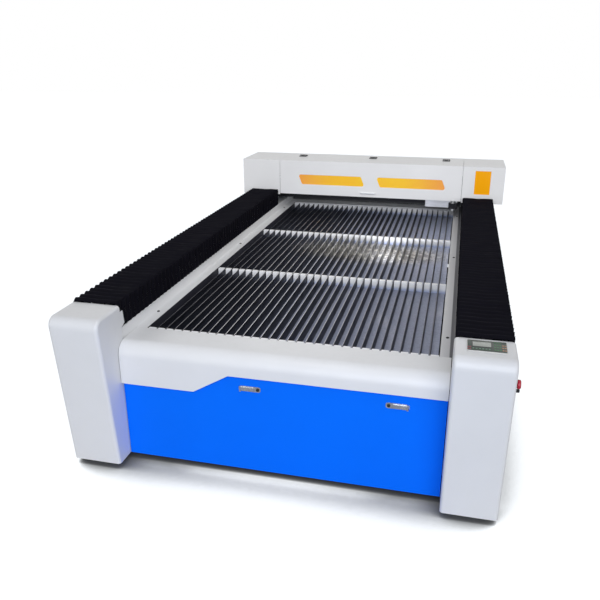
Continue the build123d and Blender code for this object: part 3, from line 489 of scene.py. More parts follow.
# Colour and gloss, then what else each kind of finish takes
PAINTS = {
    "frame_paint": ((0.62, 0.64, 0.67), 0.45),
    "dark_paint": ((0.035, 0.036, 0.04), 0.4),
    "motor_black": ((0.02, 0.02, 0.022), 0.42),
}
METALS = {
    "steel": ((0.56, 0.57, 0.59), 0.26, (1, 0.05, 1)),
    "aluminium": ((0.80, 0.81, 0.83), 0.28, (0.06, 1, 1)),
    "black_anodised": ((0.03, 0.03, 0.034), 0.36),
    "latch_chrome": ((0.70, 0.71, 0.73), 0.16, (1, 1, 1), 200, 0.03),
}
PLASTICS = {
    "belt_rubber": ((0.012, 0.012, 0.013), 0.6),
    "black_plastic": ((0.014, 0.014, 0.015), 0.42),
    "panel_plastic": ((0.055, 0.065, 0.055), 0.3),
    "red_plastic": ((0.46, 0.012, 0.035), 0.25),
    "panel_rim": ((0.60, 0.59, 0.56), 0.35),
    "panel_film": ((0.014, 0.030, 0.020), 0.34, 300, 0.05),
    "green_key": ((0.05, 0.19, 0.07), 0.4),
    "orange_key": ((0.52, 0.26, 0.14), 0.4),
    "red_key": ((0.30, 0.03, 0.05), 0.4),
    "grey_key": ((0.10, 0.22, 0.14), 0.4),
    "laser_gas": ((0.86, 0.90, 0.93), 0.15, 40, 0.02),
}


def finishes():
    """The record's slots, and a few more for pieces that are here only."""
    tint = colours()
    white = tuple(tint.white_paint)
    made = {
        "white_paint": paint_finish("white_paint", white),
        "blue_paint": paint_finish("blue_paint", tuple(tint.blue_paint), 0.45, 0.0, 0.08),
        "rim_paint": rim_finish(white),
        "comb_paint": comb_finish(),
        "blade_metal": slat_finish(tuple(tint.slat)),
        "tray_metal": tray_finish(tuple(tint.tray)),
        "bellows_cloth": cloth_finish(tuple(tint.cloth)),
        "amber_acrylic": acrylic_finish("amber_acrylic", tuple(tint.amber)),
        "laser_glass": glass_finish(),
        "panel_screen": screen_finish(),
    }
    tables = (paint_finish, PAINTS), (metal_finish, METALS), (plastic_finish, PLASTICS)
    for finish, table in tables:
        for name, look in table.items():
            made[name] = finish(name, *look)
    return made


MATERIALS = {}
# Slots of the finishes that are not slots of the record themselves
SLOT_OF = dict.fromkeys(
    ("panel_rim", "panel_film", "panel_screen", "green_key", "orange_key", "red_key", "grey_key"),
    "panel_plastic",
)
SLOT_OF.update(laser_gas="laser_glass", rim_paint="white_paint")


class LASER_OT_finishes(bpy.types.Operator):
    """Make the finishes, and give every node of the frame the one of its slot"""

    bl_idname = "laser_cutter.finishes"
    bl_label = "Finishes"

    def execute(self, context):
        MATERIALS.update(finishes())
        for part in frame["record"]["subparts"]:
            node = frame["nodes"][part["node"]]
            node.data.materials.clear()
            node.data.materials.append(MATERIALS[part["material_slot"]])
        return {"FINISHED"}


# Making tools

TO_FRONT = (math.radians(90), 0, 0)
TO_RIGHT = (0, math.radians(90), 0)
TO_LEFT = (0, math.radians(-90), 0)
UPWARDS = (0, 0, 0)

NEAR = 0.001  # two places in one plane
ALONG = 0.9  # a face looks along an axis if its normal has more than this of it
WELD = 0.00001
FLAT_ANGLE = math.radians(0.5)
BROKEN_ANGLE = math.radians(35)  # edges of a solid that are sharper get broken
SMOOTH_ANGLE = math.radians(40)
RIM_ANGLE = math.radians(50)
DISC_CORNERS = 12  # a round end has more corners than this
SCREW_SIDES = 24
TUBE_SIDES = 32


def only(piece):
    """Select one object and nothing else."""
    if bpy.context.object and bpy.context.object.mode != "OBJECT":
        bpy.ops.object.mode_set(mode="OBJECT")
    bpy.ops.object.select_all(action="DESELECT")
    piece.select_set(True)
    bpy.context.view_layer.objects.active = piece


def open_mesh(piece):
    """Take one object to edit mode."""
    only(piece)
    bpy.ops.object.mode_set(mode="EDIT")


def close_mesh():
    bpy.ops.object.mode_set(mode="OBJECT")


def choose(kind, test):
    """Select the open mesh's corners, edges or faces that pass a test."""
    mesh = bmesh.from_edit_mesh(bpy.context.object.data)
    bpy.ops.mesh.select_mode(type=kind)
    bpy.ops.mesh.select_all(action="DESELECT")
    for element in {"VERT": mesh.verts, "EDGE": mesh.edges, "FACE": mesh.faces}[kind]:
        if test(element):
            element.select_set(True)
    mesh.select_flush_mode()
    bmesh.update_edit_mesh(bpy.context.object.data)


def height_of(edge):
    """Height of an edge's middle."""
    return (edge.verts[0].co.z + edge.verts[1].co.z) / 2


def span(edge, axis):
    """How far an edge reaches along an axis."""
    return abs(edge.verts[0].co[axis] - edge.verts[1].co[axis])


def finished_by(piece, kind, **settings):
    """Add one modifier and apply it."""
    only(piece)
    modifier = piece.modifiers.new(kind.title(), kind)
    for key, value in settings.items():
        setattr(modifier, key, value)
    bpy.ops.object.modifier_apply(modifier=modifier.name)


def smoothed(piece, angle=SMOOTH_ANGLE):
    """Shade smooth, all but the corners sharper than an angle."""
    only(piece)
    bpy.ops.object.shade_smooth_by_angle(angle=angle)


def settle(piece, name, body, finish, replaced=()):
    """Name a piece, put its place in its mesh, and give it its finish and its body."""
    only(piece)
    bpy.ops.object.transform_apply(location=True, rotation=True, scale=True)
    piece.name = name
    piece.data.name = name
    piece.data.materials.clear()
    piece.data.materials.append(MATERIALS[finish])
    if body:
        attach(piece, body)
    if replaced:
        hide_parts(*replaced)
    return piece


def keep_inside(piece, low, high):
    """Hold a mesh within its solid's box."""
    for vertex in piece.data.vertices:
        for axis in range(3):
            vertex.co[axis] = min(max(vertex.co[axis], low[axis]), high[axis])


def body_of(node):
    for name, nodes in frame["record"]["behaviour"]["bodies"].items():
        if node in nodes:
            return name
    raise RuntimeError("no body holds " + node)


def slot_of(node):
    parts = frame["record"]["subparts"]
    return next(part["material_slot"] for part in parts if part["node"] == node)


def softened(node, width, steps=2, finish=None):
    """Stand a copy of a plain solid in its place, with its outer edges broken."""
    source = frame["nodes"][node]
    piece = bpy.data.objects.new(node + "_soft", source.data.copy())
    bpy.context.collection.objects.link(piece)
    open_mesh(piece)
    bpy.ops.mesh.select_mode(type="VERT")
    bpy.ops.mesh.select_all(action="SELECT")
    bpy.ops.mesh.remove_doubles(threshold=WELD)
    bpy.ops.mesh.dissolve_limited(angle_limit=FLAT_ANGLE)
    choose("EDGE", lambda e: e.is_convex and e.calc_face_angle(0) > BROKEN_ANGLE)
    bpy.ops.transform.edge_bevelweight(value=1)
    close_mesh()
    finished_by(
        piece, "BEVEL", width=width, segments=steps, limit_method="WEIGHT", use_clamp_overlap=True
    )
    keep_inside(piece, *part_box(node))
    smoothed(piece, BROKEN_ANGLE)
    finished_by(piece, "WEIGHTED_NORMAL", keep_sharp=True)
    return settle(piece, node + "_detail", body_of(node), finish or slot_of(node), (node,))


def joined(pieces):
    """Several objects made one."""
    only(pieces[0])
    for piece in pieces:
        piece.select_set(True)
    bpy.ops.object.join()
    return bpy.context.object


def copied(piece, place, turn=(0, 0, 0)):
    """Copy of a piece, with its own mesh, at another place."""
    twin = bpy.data.objects.new(piece.name, piece.data.copy())
    bpy.context.collection.objects.link(twin)
    twin.location = place
    twin.rotation_euler = turn
    return twin


def prism(sides, radius, low, high, turn=(0, 0, 0), place=(0, 0, 0)):
    """Upright prism to shape further, between two heights."""
    bpy.ops.object.select_all(action="DESELECT")
    bpy.ops.mesh.primitive_cylinder_add(
        vertices=sides, radius=radius, depth=high - low, location=(0, 0, (low + high) / 2)
    )
    piece = bpy.context.object
    only(piece)
    bpy.ops.object.transform_apply(location=True)
    piece.rotation_euler = turn
    piece.location = place
    return piece


def plate(low, high, rounding, steps, edge):
    """Plate between two corners, with rounded upright edges and broken rims."""
    size = [b - a for a, b in zip(low, high)]
    centre = [(b + a) / 2 for a, b in zip(low, high)]
    bpy.ops.object.select_all(action="DESELECT")
    bpy.ops.mesh.primitive_cube_add(size=1, location=centre, scale=size)
    piece = bpy.context.object
    only(piece)
    bpy.ops.object.transform_apply(location=True, rotation=True, scale=True)
    open_mesh(piece)
    choose("EDGE", lambda e: span(e, Z) > size[Z] / 2)
    bpy.ops.mesh.bevel(offset=rounding, segments=steps)
    close_mesh()
    finished_by(
        piece, "BEVEL", width=edge, segments=2, limit_method="ANGLE", angle_limit=RIM_ANGLE
    )
    smoothed(piece)
    return piece


def screw(radius, height):
    """Button-head screw with a round recess, standing on the Z axis."""
    recess = height * 0.55
    piece = prism(SCREW_SIDES, radius, 0, height)
    open_mesh(piece)
    choose("EDGE", lambda e: min(v.co.z for v in e.verts) > height / 2)
    bpy.ops.mesh.bevel(offset=recess, segments=3)
    choose("FACE", lambda f: f.normal.z > ALONG and len(f.verts) > DISC_CORNERS)
    bpy.ops.mesh.inset(thickness=radius * 0.16)
    bpy.ops.mesh.extrude_region_move(TRANSFORM_OT_translate={"value": (0, 0, -recess)})
    close_mesh()
    smoothed(piece)
    return piece


def screw_set(name, body, finish, places, radius, height):
    """Like screws at several places, each with the way that it faces."""
    pattern = screw(radius, height)
    copies = [copied(pattern, place, turn) for place, turn in places]
    bpy.data.objects.remove(pattern)
    return settle(joined(copies), name, body, finish)


# Bellows

CLOTH_THICKNESS = 0.0012
CLOTH_HEM = 0.02  # lowest part of the sides, which stays even
CLOTH_UNEVENNESS = 0.0013
CLOTH_ANGLE = math.radians(50)
# Rounding of the folds, drawn out and packed
DRAWN_FOLD = 0.0032
PACKED_FOLD = 0.0006


class LASER_OT_bellows(bpy.types.Operator):
    """Fold the four pleated covers of the side beams"""

    bl_idname = "laser_cutter.bellows"
    bl_label = "Bellows"

    def execute(self, context):
        for side in ("right", "left"):
            front = self.cover("front_bellows_" + side, sizes().pleat_depth, DRAWN_FOLD, "root")
            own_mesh(front)
            rear = self.cover("rear_bellows_" + side, sizes().packed_depth, PACKED_FOLD, None)
            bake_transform(rear)
        return {"FINISHED"}

    def cover(self, node, depth, softness, body):
        """Cloth in a solid's place: its inner outline, one pleat of it, then the row."""
        low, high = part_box(node)
        pitch = (high[1] - low[1]) / sizes().pleats
        wide, tall = high[0] - low[0], high[2] - low[2]
        cloth = self.outline(low, high, depth)
        out = Vector((wide / (wide - depth), 1, tall / (tall - depth)))
        foot = Vector(((low[0] + high[0]) / 2, low[1], low[2]))
        bpy.ops.mesh.select_all(action="SELECT")
        for value in (out, Vector((1 / out.x, 1, 1 / out.z))):
            bpy.ops.mesh.extrude_edges_move(TRANSFORM_OT_translate={"value": (0, pitch / 2, 0)})
            bpy.ops.transform.resize(value=value, center_override=foot)
        close_mesh()
        finished_by(
            cloth,
            "ARRAY",
            count=sizes().pleats,
            use_relative_offset=False,
            use_constant_offset=True,
            constant_offset_displace=(0, pitch, 0),
            use_merge_vertices=True,
            merge_threshold=0.0001,
        )
        self.creased(cloth, low, high, pitch, softness)
        keep_inside(cloth, low, high)
        self.mark_folds(cloth, low, pitch)
        finished_by(cloth, "SOLIDIFY", thickness=CLOTH_THICKNESS, offset=-1)
        smoothed(cloth, CLOTH_ANGLE)
        settle(cloth, node + "_cloth", body, "bellows_cloth", (node,))
        self.declare(cloth, wide - depth / 2, tall - depth / 2, pitch, depth)
        return cloth

    def outline(self, low, high, depth):
        """Open mesh of the cover's section at an inner fold, with round corners and a sag."""
        settings = sizes()
        wide, tall = high[0] - low[0], high[2] - low[2]
        centre = (low[0] + high[0]) / 2
        bpy.ops.object.select_all(action="DESELECT")
        bpy.ops.mesh.primitive_plane_add(
            size=1, location=(centre, low[1], low[2] + (tall - depth) / 2), rotation=TO_FRONT
        )
        cloth = bpy.context.object
        cloth.scale = (wide - depth, tall - depth, 1)
        only(cloth)
        bpy.ops.object.transform_apply(location=True, rotation=True, scale=True)
        open_mesh(cloth)
        bpy.ops.mesh.select_all(action="SELECT")
        bpy.ops.mesh.delete(type="ONLY_FACE")
        choose("EDGE", lambda e: height_of(e) < low[2] + NEAR)
        bpy.ops.mesh.delete(type="EDGE")
        choose("VERT", lambda v: v.co.z > low[2] + tall / 2)
        bpy.ops.mesh.bevel(offset=settings.bellows_corner, segments=3, affect="VERTICES")
        choose("EDGE", lambda e: e.calc_length() > wide / 2)
        bpy.ops.mesh.subdivide(number_cuts=3)
        top, inner = high[2] - 2 * depth, wide * 0.2
        choose("VERT", lambda v: v.co.z > top and abs(v.co.x - centre) < inner)
        bpy.ops.transform.translate(value=(0, 0, -settings.bellows_sag))
        return cloth

    def creased(self, cloth, low, high, pitch, softness):
        """Round the folds and make them a little uneven, but for both ends and the hems."""
        open_mesh(cloth)
        choose("EDGE", lambda e: span(e, Y) < pitch / 20)
        bpy.ops.mesh.bevel(offset=softness, segments=2)
        start, end, hem = low[1] + pitch, high[1] - pitch, low[2] + CLOTH_HEM
        choose("VERT", lambda v: start < v.co.y < end and v.co.z > hem)
        bpy.ops.transform.vertex_random(
            offset=min(CLOTH_UNEVENNESS, pitch / 20), seed=4, normal=0
        )
        bpy.ops.mesh.select_all(action="SELECT")
        bpy.ops.mesh.normals_make_consistent(inside=False)
        close_mesh()

    def declare(self, cloth, top_width, side_height, pitch, depth):
        """Takes the cloth's sizes, and does nothing with them."""

    def mark_folds(self, cloth, low, pitch):
        """How near each corner of the mesh is to an outer fold, for the worn edges."""
        folds = cloth.data.attributes.new("fold", "FLOAT", "POINT")
        for vertex, mark in zip(cloth.data.vertices, folds.data):
            phase = ((vertex.co.y - low[1]) / pitch) % 1.0
            mark.value = 1 - min(1.0, abs(phase - 0.5) * 4)


# Door latches


class LASER_OT_latches(bpy.types.Operator):
    """Soften the paddle latches and their push buttons"""

    bl_idname = "laser_cutter.latches"
    bl_label = "Door latches"

    def execute(self, context):
        softened("latch_bodies", 0.0009, 3)
        for side in ("left", "right"):
            softened("latch_paddle_" + side, 0.0011, 3)
            softened("latch_button_" + side, 0.0009, 3)
        return {"FINISHED"}


# Controls

KEY_HEIGHT = 0.0012  # keys and bezel, above the panel's frame
KEY_HALF = 0.0036
FILM_HEIGHT = 0.0004
PANEL_RIM = 0.0025
BEZEL_MARGIN = 0.004
BEZEL_LIP = 0.0007
BEZEL_DEPTH = 0.0005
BEZEL_LEAST_TOP = 0.0005  # area that only its top face has
GLASS_HEIGHT = 0.0004
# Shares of the panel's width and depth
SCREEN_LOW = (0.12, 0.37)
SCREEN_HIGH = (0.63, 0.92)
KEY_GRIDS = (
    ("green", (0.70, 0.765, 0.83), (0.20, 0.42, 0.64, 0.86)),
    ("orange", (0.895, 0.955), (0.20, 0.42, 0.64)),
    ("red", (0.035, 0.085), (0.14, 0.32)),
    ("grey", (0.16, 0.24, 0.32, 0.40, 0.48, 0.56), (0.20,)),
)


class LASER_OT_controls(bpy.types.Operator):
    """Lay out the control panel, its screen and keys, and the stop button"""

    bl_idname = "laser_cutter.controls"
    bl_label = "Controls"

    def execute(self, context):
        low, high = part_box("control_panel")
        self.panel(low, high)
        softened("stop_collar", 0.0015, 3)
        softened("stop_button", 0.0055, 5)
        softened("key_switch", 0.0008, 2, "black_plastic")
        return {"FINISHED"}

    def panel(self, low, high):
        """Frame, film, screen and keys, within the solid's box."""
        width, depth = high[0] - low[0], high[1] - low[1]
        key_top = high[2]
        top = key_top - KEY_HEIGHT
        body = plate(low, (high[0], high[1], top), rounding=0.006, steps=4, edge=0.0009)
        settle(body, "panel_frame", "root", "panel_rim", ("control_panel",))
        film = plate(
            (low[0] + PANEL_RIM, low[1] + PANEL_RIM, top),
            (high[0] - PANEL_RIM, high[1] - PANEL_RIM, top + FILM_HEIGHT),
            rounding=0.004,
            steps=3,
            edge=0.0001,
        )
        settle(film, "panel_film", "root", "panel_film")
        screen_low = (low[0] + width * SCREEN_LOW[0], low[1] + depth * SCREEN_LOW[1])
        screen_high = (low[0] + width * SCREEN_HIGH[0], low[1] + depth * SCREEN_HIGH[1])
        self.screen(screen_low, screen_high, top + FILM_HEIGHT, key_top)
        for name, columns, rows in KEY_GRIDS:
            places = [(low[0] + width * x, low[1] + depth * y) for x in columns for y in rows]
            self.keys(name, places, top + FILM_HEIGHT, key_top)

    def screen(self, low, high, bottom, top):
        """Bezel with a recess, and the glass in it."""
        bezel = plate((*low, bottom), (*high, top), rounding=0.002, steps=2, edge=0.0003)
        settle(bezel, "screen_bezel", "root", "black_plastic")
        glass = plate(
            (low[0] + BEZEL_MARGIN, low[1] + BEZEL_MARGIN, top - GLASS_HEIGHT),
            (high[0] - BEZEL_MARGIN, high[1] - BEZEL_MARGIN, top),
            rounding=0.001,
            steps=2,
            edge=0.0001,
        )
        open_mesh(bezel)
        choose("FACE", lambda f: f.normal.z > ALONG and f.calc_area() > BEZEL_LEAST_TOP)
        bpy.ops.mesh.inset(thickness=BEZEL_MARGIN - BEZEL_LIP)
        bpy.ops.mesh.extrude_region_move(TRANSFORM_OT_translate={"value": (0, 0, -BEZEL_DEPTH)})
        close_mesh()
        settle(glass, "screen_glass", "root", "panel_screen")

    def keys(self, name, places, bottom, top):
        """Keys of one colour, as one piece."""
        made = []
        for x, y in places:
            low, high = (x - KEY_HALF, y - KEY_HALF, bottom), (x + KEY_HALF, y + KEY_HALF, top)
            made.append(plate(low, high, rounding=0.0015, steps=3, edge=0.0003))
        settle(joined(made), name + "_keys", "root", name + "_key")


# Lid

LID_HINGES = (-0.640, 0, 0.640)
HINGE_THICKNESS = 0.005
HINGE_SCREW_SPREAD = 0.019
HINGE_SCREW_ROWS = (0.008, 0.024)  # from the hinge's edge


class LASER_OT_lid(bpy.types.Operator):
    """Soften the lid's hinges and handle, and set the hinge screws"""

    bl_idname = "laser_cutter.lid"
    bl_label = "Gantry lid"

    def execute(self, context):
        softened("lid_hinge_leaves", 0.0008, 2, "black_plastic")
        softened("lid_hinge_bases", 0.0008, 2, "black_plastic")
        softened("lid_handle", 0.0016, 3, "aluminium")
        self.screws()
        return {"FINISHED"}

    def screws(self):
        """Two rows of two in each leaf and in each base."""
        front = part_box("lid_hinge_leaves")[0]
        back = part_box("lid_hinge_bases")[1]
        top = front[2] + HINGE_THICKNESS
        moving, fixed = [], []
        for hinge in LID_HINGES:
            for x in (hinge - HINGE_SCREW_SPREAD, hinge + HINGE_SCREW_SPREAD):
                for along in HINGE_SCREW_ROWS:
                    moving.append(((x, front[1] + along, top), UPWARDS))
                    fixed.append(((x, back[1] - along, top), UPWARDS))
        screw_set("lid_hinge_screws", "lid", "steel", moving, radius=0.0035, height=0.0018)
        screw_set("gantry_hinge_screws", "gantry", "steel", fixed, radius=0.0035, height=0.0018)


# Laser tube

BORE_RADIUS = 0.012
BORE_REACH = 0.86  # share of the tube's half length
BORE_WALL = 0.003
BORE_RECESS = 0.98  # share of the bore's length between its recessed ends
CUP_REACH = 0.80
CUP_RADIUS = 0.026
CUP_HALF = 0.05
CUP_EDGE = 0.006


class LASER_OT_laser_tube(bpy.types.Operator):
    """Fit the inner bore and the electrodes, and soften the clamps"""

    bl_idname = "laser_cutter.laser_tube"
    bl_label = "Laser tube"

    def execute(self, context):
        low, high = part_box("laser_tube")
        axis = ((low[1] + high[1]) / 2, (low[2] + high[2]) / 2)
        reach = (high[0] - low[0]) / 2
        bore_end, cup_middle = reach * BORE_REACH, reach * CUP_REACH
        bore = prism(TUBE_SIDES, BORE_RADIUS, -bore_end, bore_end, TO_RIGHT, (0, *axis))
        open_mesh(bore)
        choose("FACE", lambda f: abs(f.normal.z) > ALONG)
        bpy.ops.mesh.inset(thickness=BORE_WALL)
        bpy.ops.transform.resize(value=(1, 1, BORE_RECESS))
        close_mesh()
        smoothed(bore)
        settle(bore, "laser_bore", "gantry", "laser_gas")
        cups = [self.cup(x, axis) for x in (-cup_middle, cup_middle)]
        settle(joined(cups), "laser_electrodes", "gantry", "aluminium")
        softened("tube_clamps", 0.002, 2)
        return {"FINISHED"}

    def cup(self, x, axis):
        """Electrode with rounded rims and flat ends."""
        cup = prism(TUBE_SIDES, CUP_RADIUS, -CUP_HALF, CUP_HALF)
        open_mesh(cup)
        choose("EDGE", lambda e: span(e, Z) < NEAR)
        bpy.ops.mesh.bevel(offset=CUP_EDGE, segments=3)
        choose("FACE", lambda f: abs(f.normal.z) > ALONG and len(f.verts) > DISC_CORNERS)
        bpy.ops.mesh.inset(thickness=CUP_EDGE)
        close_mesh()
        smoothed(cup)
        cup.rotation_euler = TO_RIGHT
        cup.location = (x, *axis)
        return cup


# Cutting head

RING_SIDES = 48
RING_RADIUS = 0.0238
RINGS = ((0.024, 0.010), (0.040, 0.022))  # place above the lens holder, and height
HEAD_SCREW_COLUMNS = (0.088, 0.148)  # from the carriage's left edge
HEAD_SCREW_HEIGHTS = (0.835, 0.85, 0.90)


def grooved(face):
    """Whether a side of a ring gets a groove: only some do."""
    turn = math.atan2(face.normal.y, face.normal.x)
    return abs(face.normal.z) < 1 - ALONG and round(turn * RING_SIDES / 2 / math.pi) % 2


class LASER_OT_head(bpy.types.Operator):
    """Detail the head: plate, lens holder, lens tube with its rings, screws"""

    bl_idname = "laser_cutter.head"
    bl_label = "Cutting head"

    def execute(self, context):
        softened("head_carriage", 0.0012)
        softened("lens_holder", 0.0015)
        softened("lens_tube", 0.0008)
        self.rings()
        self.screws()
        return {"FINISHED"}

    def rings(self):
        """Grip rings of the lens tube."""
        low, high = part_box("lens_tube")
        x, y = (low[0] + high[0]) / 2, (low[1] + high[1]) / 2
        holder_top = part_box("lens_holder")[1][2]
        rings = []
        for above, height in RINGS:
            base = holder_top + above
            ring = prism(RING_SIDES, RING_RADIUS, base, base + height, place=(x, y, 0))
            open_mesh(ring)
            choose("FACE", grooved)
            bpy.ops.mesh.inset(thickness=0.0002, depth=-0.0008, use_individual=True)
            close_mesh()
            rings.append(ring)
        settle(joined(rings), "lens_rings", "lens", "black_anodised")

    def screws(self):
        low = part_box("head_carriage")[0]
        places = [
            ((low[0] + column, low[1], height), TO_FRONT)
            for column in HEAD_SCREW_COLUMNS
            for height in HEAD_SCREW_HEIGHTS
        ]
        screw_set("head_plate_screws", "head", "steel", places, radius=0.005, height=0.003)


# Drives

DRIVE_EDGES = (
    ("x_motor", 0.002),
    ("drive_motor", 0.002),
    ("rail_blocks", 0.0015),
    ("shaft_bearings", 0.0025),
    ("idler_brackets", 0.001),
    ("gantry_feet", 0.001),
)


class LASER_OT_drives(bpy.types.Operator):
    """Soften the motors, blocks, bearings and brackets of both axes"""

    bl_idname = "laser_cutter.drives"
    bl_label = "Drives"

    def execute(self, context):
        for node, width in DRIVE_EDGES:
            softened(node, width)
        return {"FINISHED"}


# Cladding

SHEET_EDGE = 0.0009
SHEETS = (
    "apron",
    "front_door",
    "rear_rim",
    "lid_cover",
    "gantry_end_right",
    "gantry_end_left",
    "gantry_back_cover",
    "side_panels",
    "rear_panel",
)
RIM_SCREWS = (
    (-0.779, -1.363),
    (0.767, -1.360),
    (0.768, 0.040),
    (-0.779, 0.040),
    (-0.779, 1.30),
    (0.768, 1.30),
)
SIDE_SCREWS = 8  # in a row
SIDE_SCREW_MARGIN = (0.05, 0.04)  # from the panel's ends, and from its edges


class LASER_OT_cladding(bpy.types.Operator):
    """Break the sheet edges of the cladding and set its screws"""

    bl_idname = "laser_cutter.cladding"
    bl_label = "Cladding"

    def execute(self, context):
        softened("side_rims", SHEET_EDGE, 2, "rim_paint")
        for node in SHEETS:
            softened(node, SHEET_EDGE)
        softened("comb_bars", 0.0008)
        softened("levelling_feet", 0.0015)
        self.rim_screws()
        self.side_screws()
        return {"FINISHED"}

    def rim_screws(self):
        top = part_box("rear_rim")[1][2]
        places = [((x, y, top), UPWARDS) for x, y in RIM_SCREWS]
        screw_set("rim_screws", "root", "black_plastic", places, radius=0.008, height=0.0035)

    def side_screws(self):
        """Two rows along each side panel."""
        low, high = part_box("side_panels")
        end, edge = SIDE_SCREW_MARGIN
        run = high[1] - low[1] - 2 * end
        places = []
        for step in range(SIDE_SCREWS):
            y = low[1] + end + run * step / (SIDE_SCREWS - 1)
            for z in (low[2] + edge, high[2] - edge):
                places.append(((high[0], y, z), TO_RIGHT))
                places.append(((low[0], y, z), TO_LEFT))
        screw_set("panel_screws", "root", "steel", places, radius=0.006, height=0.003)


# Stage

FLOOR_SIZE = 60
FLOOR_GREY = (0.62, 0.62, 0.62, 1)
FLOOR_WHITE = (0.94, 0.97, 1.0, 1)
SEEN_SHARE = 0.8  # of the floor's own white; the rest is the light that falls on it
BRIGHTEST = 1.3
SHADOW_REACH = 1.0
SHADOW_POWER = 5.5
SHADOW_GAIN = 20
REAR_SHARE = 0.5  # of the front light's power
FRONT_DIRECTION = (-0.28, 1.0, -0.38)
REAR_DIRECTION = (0.35, -1.0, -0.12)
# Name, place, target, size, watts, colour, and whether it shows in glossy finishes
SOFT_LAMPS = (
    ("cool_lamp", (0.6, -4.6, 1.7), (0, -1.8, 0.6), 2.6, 22, (0.42, 0.62, 1.0), True),
    ("bed_lamp", (0.2, -0.9, 2.5), (0, 1.1, 0.7), 1.6, 7.5, (1.0, 0.985, 0.96), True),
    ("gantry_lamp", (0.1, -2.1, 1.9), (0, 1.3, 0.98), 0.8, 5, (1.0, 0.99, 0.97), True),
    ("under_lamp", (0.3, 0.0, 0.80), (0.3, 1.5, 0.66), 0.1, 1.6, (0.93, 0.95, 1.0), False),
)
CAMERA_PLACE = (0.755, -4.391, 1.977)
CAMERA_ROLL = math.radians(0.09)


def aimed(direction):
    """Turn of a lamp that shines along a direction."""
    return Vector(direction).to_track_quat("-Z", "Y").to_euler()


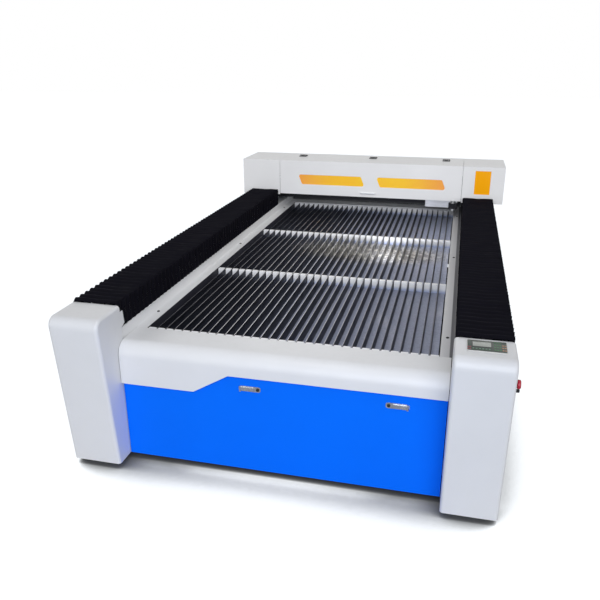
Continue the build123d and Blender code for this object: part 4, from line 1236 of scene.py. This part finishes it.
class LASER_OT_stage(bpy.types.Operator):
    """Build the floor, the lamps and the camera"""

    bl_idname = "laser_cutter.stage"
    bl_label = "Stage"

    def execute(self, context):
        settings = stage_settings()
        scene = context.scene
        scene.view_settings.view_transform = "Standard"
        self.floor()
        self.world(scene, settings)
        self.lamps(settings)
        self.camera(scene, settings)
        return {"FINISHED"}

    def floor(self):
        """White to the camera, darker where the machine is close above it."""
        bpy.ops.object.select_all(action="DESELECT")
        bpy.ops.mesh.primitive_plane_add(size=FLOOR_SIZE, location=(0, 0, 0))
        floor = bpy.context.object
        floor.name = "floor"
        shader = Shader("floor", Roughness=1.0, Specular_IOR_Level=0.0)
        path = shader.node("ShaderNodeLightPath")
        open_share = shader.value(
            "ShaderNodeAmbientOcclusion", {"samples": 48}, {"Distance": SHADOW_REACH}, "AO"
        )
        bright = (open_share ** SHADOW_POWER * SHADOW_GAIN).maths("MINIMUM", BRIGHTEST)
        matte = shader.node("ShaderNodeBsdfDiffuse", inputs={"Color": FLOOR_GREY})
        seen = shader.node(
            "ShaderNodeEmission", inputs={"Color": FLOOR_WHITE, "Strength": bright}
        )
        share = Value(shader, path.outputs["Is Camera Ray"]) * SEEN_SHARE
        inputs = {0: share, 1: matte.outputs[0], 2: seen.outputs[0]}
        mix = shader.node("ShaderNodeMixShader", inputs=inputs)
        shader.links.new(mix.outputs[0], shader.nodes["Material Output"].inputs["Surface"])
        floor.data.materials.append(shader.material)

    def world(self, scene, settings):
        """Even light on matt finishes, and plain white for the camera, gloss and glass."""
        world = bpy.data.worlds.new("room")
        scene.world = world
        world.use_nodes = True
        tree = world.node_tree
        room = tree.nodes["Background"]
        room.inputs["Color"].default_value = (0.97, 0.985, 1.0, 1)
        room.inputs["Strength"].default_value = settings.room_light
        plain = tree.nodes.new("ShaderNodeBackground")
        plain.inputs["Color"].default_value = (1, 1, 1, 1)
        path = tree.nodes.new("ShaderNodeLightPath")
        mirrored = tree.nodes.new("ShaderNodeMath")
        sight = tree.nodes.new("ShaderNodeMath")
        mirrored.operation = sight.operation = "MAXIMUM"
        mix = tree.nodes.new("ShaderNodeMixShader")
        output = tree.nodes["World Output"].inputs["Surface"]
        for source, target in (
            (path.outputs["Is Glossy Ray"], mirrored.inputs[0]),
            (path.outputs["Is Transmission Ray"], mirrored.inputs[1]),
            (path.outputs["Is Camera Ray"], sight.inputs[0]),
            (mirrored.outputs[0], sight.inputs[1]),
            (sight.outputs[0], mix.inputs[0]),
            (room.outputs[0], mix.inputs[1]),
            (plain.outputs[0], mix.inputs[2]),
            (mix.outputs[0], output),
        ):
            tree.links.new(source, target)

    def lamps(self, settings):
        """Wide light from the front, a weaker one from behind, and four soft lamps."""
        bpy.ops.object.select_all(action="DESELECT")
        bpy.ops.object.light_add(type="SUN", location=(0, -6, 4))
        front = bpy.context.object
        front.name = "front_light"
        front.rotation_euler = aimed(FRONT_DIRECTION)
        front.data.angle = math.radians(60)
        front.data.energy = settings.front_light
        front.data.color = (1.0, 0.995, 0.985)
        rear = front.copy()
        rear.data = front.data.copy()
        rear.name = "rear_light"
        bpy.context.collection.objects.link(rear)
        rear.rotation_euler = aimed(REAR_DIRECTION)
        rear.data.energy = settings.front_light * REAR_SHARE
        rear.visible_glossy = False
        for lamp in SOFT_LAMPS:
            self.soft_lamp(*lamp)

    def soft_lamp(self, name, place, target, size, power, colour, glossy):
        bpy.ops.object.light_add(type="AREA", location=place)
        lamp = bpy.context.object
        lamp.name = name
        lamp.rotation_euler = aimed(Vector(target) - Vector(place))
        lamp.data.size = size
        lamp.data.energy = power
        lamp.data.color = colour
        lamp.visible_camera = False
        lamp.visible_glossy = glossy

    def camera(self, scene, settings):
        bpy.ops.object.camera_add(
            location=CAMERA_PLACE,
            rotation=(settings.camera_tilt, CAMERA_ROLL, settings.camera_turn),
        )
        camera = bpy.context.object
        camera.data.lens = settings.lens
        camera.data.sensor_width = 36
        camera.data.clip_end = 200
        scene.camera = camera


class LASER_PT_panel(bpy.types.Panel):
    """Sizes, colours and pieces of the machine"""

    bl_idname = "LASER_PT_panel"
    bl_label = "Laser cutter"
    bl_space_type = "VIEW_3D"
    bl_region_type = "UI"
    bl_category = "Laser cutter"

    def draw(self, context):
        for group in (colours(), sizes(), stage_settings()):
            box = self.layout.box()
            for name in group.__annotations__:
                box.prop(group, name)
        for operator in OPERATORS:
            self.layout.operator(operator.bl_idname)


OPERATORS = (
    LASER_OT_finishes,
    LASER_OT_cladding,
    LASER_OT_bellows,
    LASER_OT_latches,
    LASER_OT_controls,
    LASER_OT_lid,
    LASER_OT_laser_tube,
    LASER_OT_head,
    LASER_OT_drives,
    LASER_OT_stage,
)
GROUPS = (LaserCutterColours, LaserCutterSizes, LaserCutterStage)


def register():
    for group in (*GROUPS, *OPERATORS, LASER_PT_panel):
        bpy.utils.register_class(group)
    bpy.types.Scene.laser_cutter_colours = bpy.props.PointerProperty(type=LaserCutterColours)
    bpy.types.Scene.laser_cutter_sizes = bpy.props.PointerProperty(type=LaserCutterSizes)
    bpy.types.Scene.laser_cutter_stage = bpy.props.PointerProperty(type=LaserCutterStage)


def unregister():
    del bpy.types.Scene.laser_cutter_stage
    del bpy.types.Scene.laser_cutter_sizes
    del bpy.types.Scene.laser_cutter_colours
    for group in (LASER_PT_panel, *reversed(OPERATORS), *reversed(GROUPS)):
        bpy.utils.unregister_class(group)


def run_operator(operator):
    family, name = operator.bl_idname.split(".")
    getattr(getattr(bpy.ops, family), name)()


def main():
    register()
    for operator in OPERATORS:
        run_operator(operator)


if __name__ == "__main__":
    main()
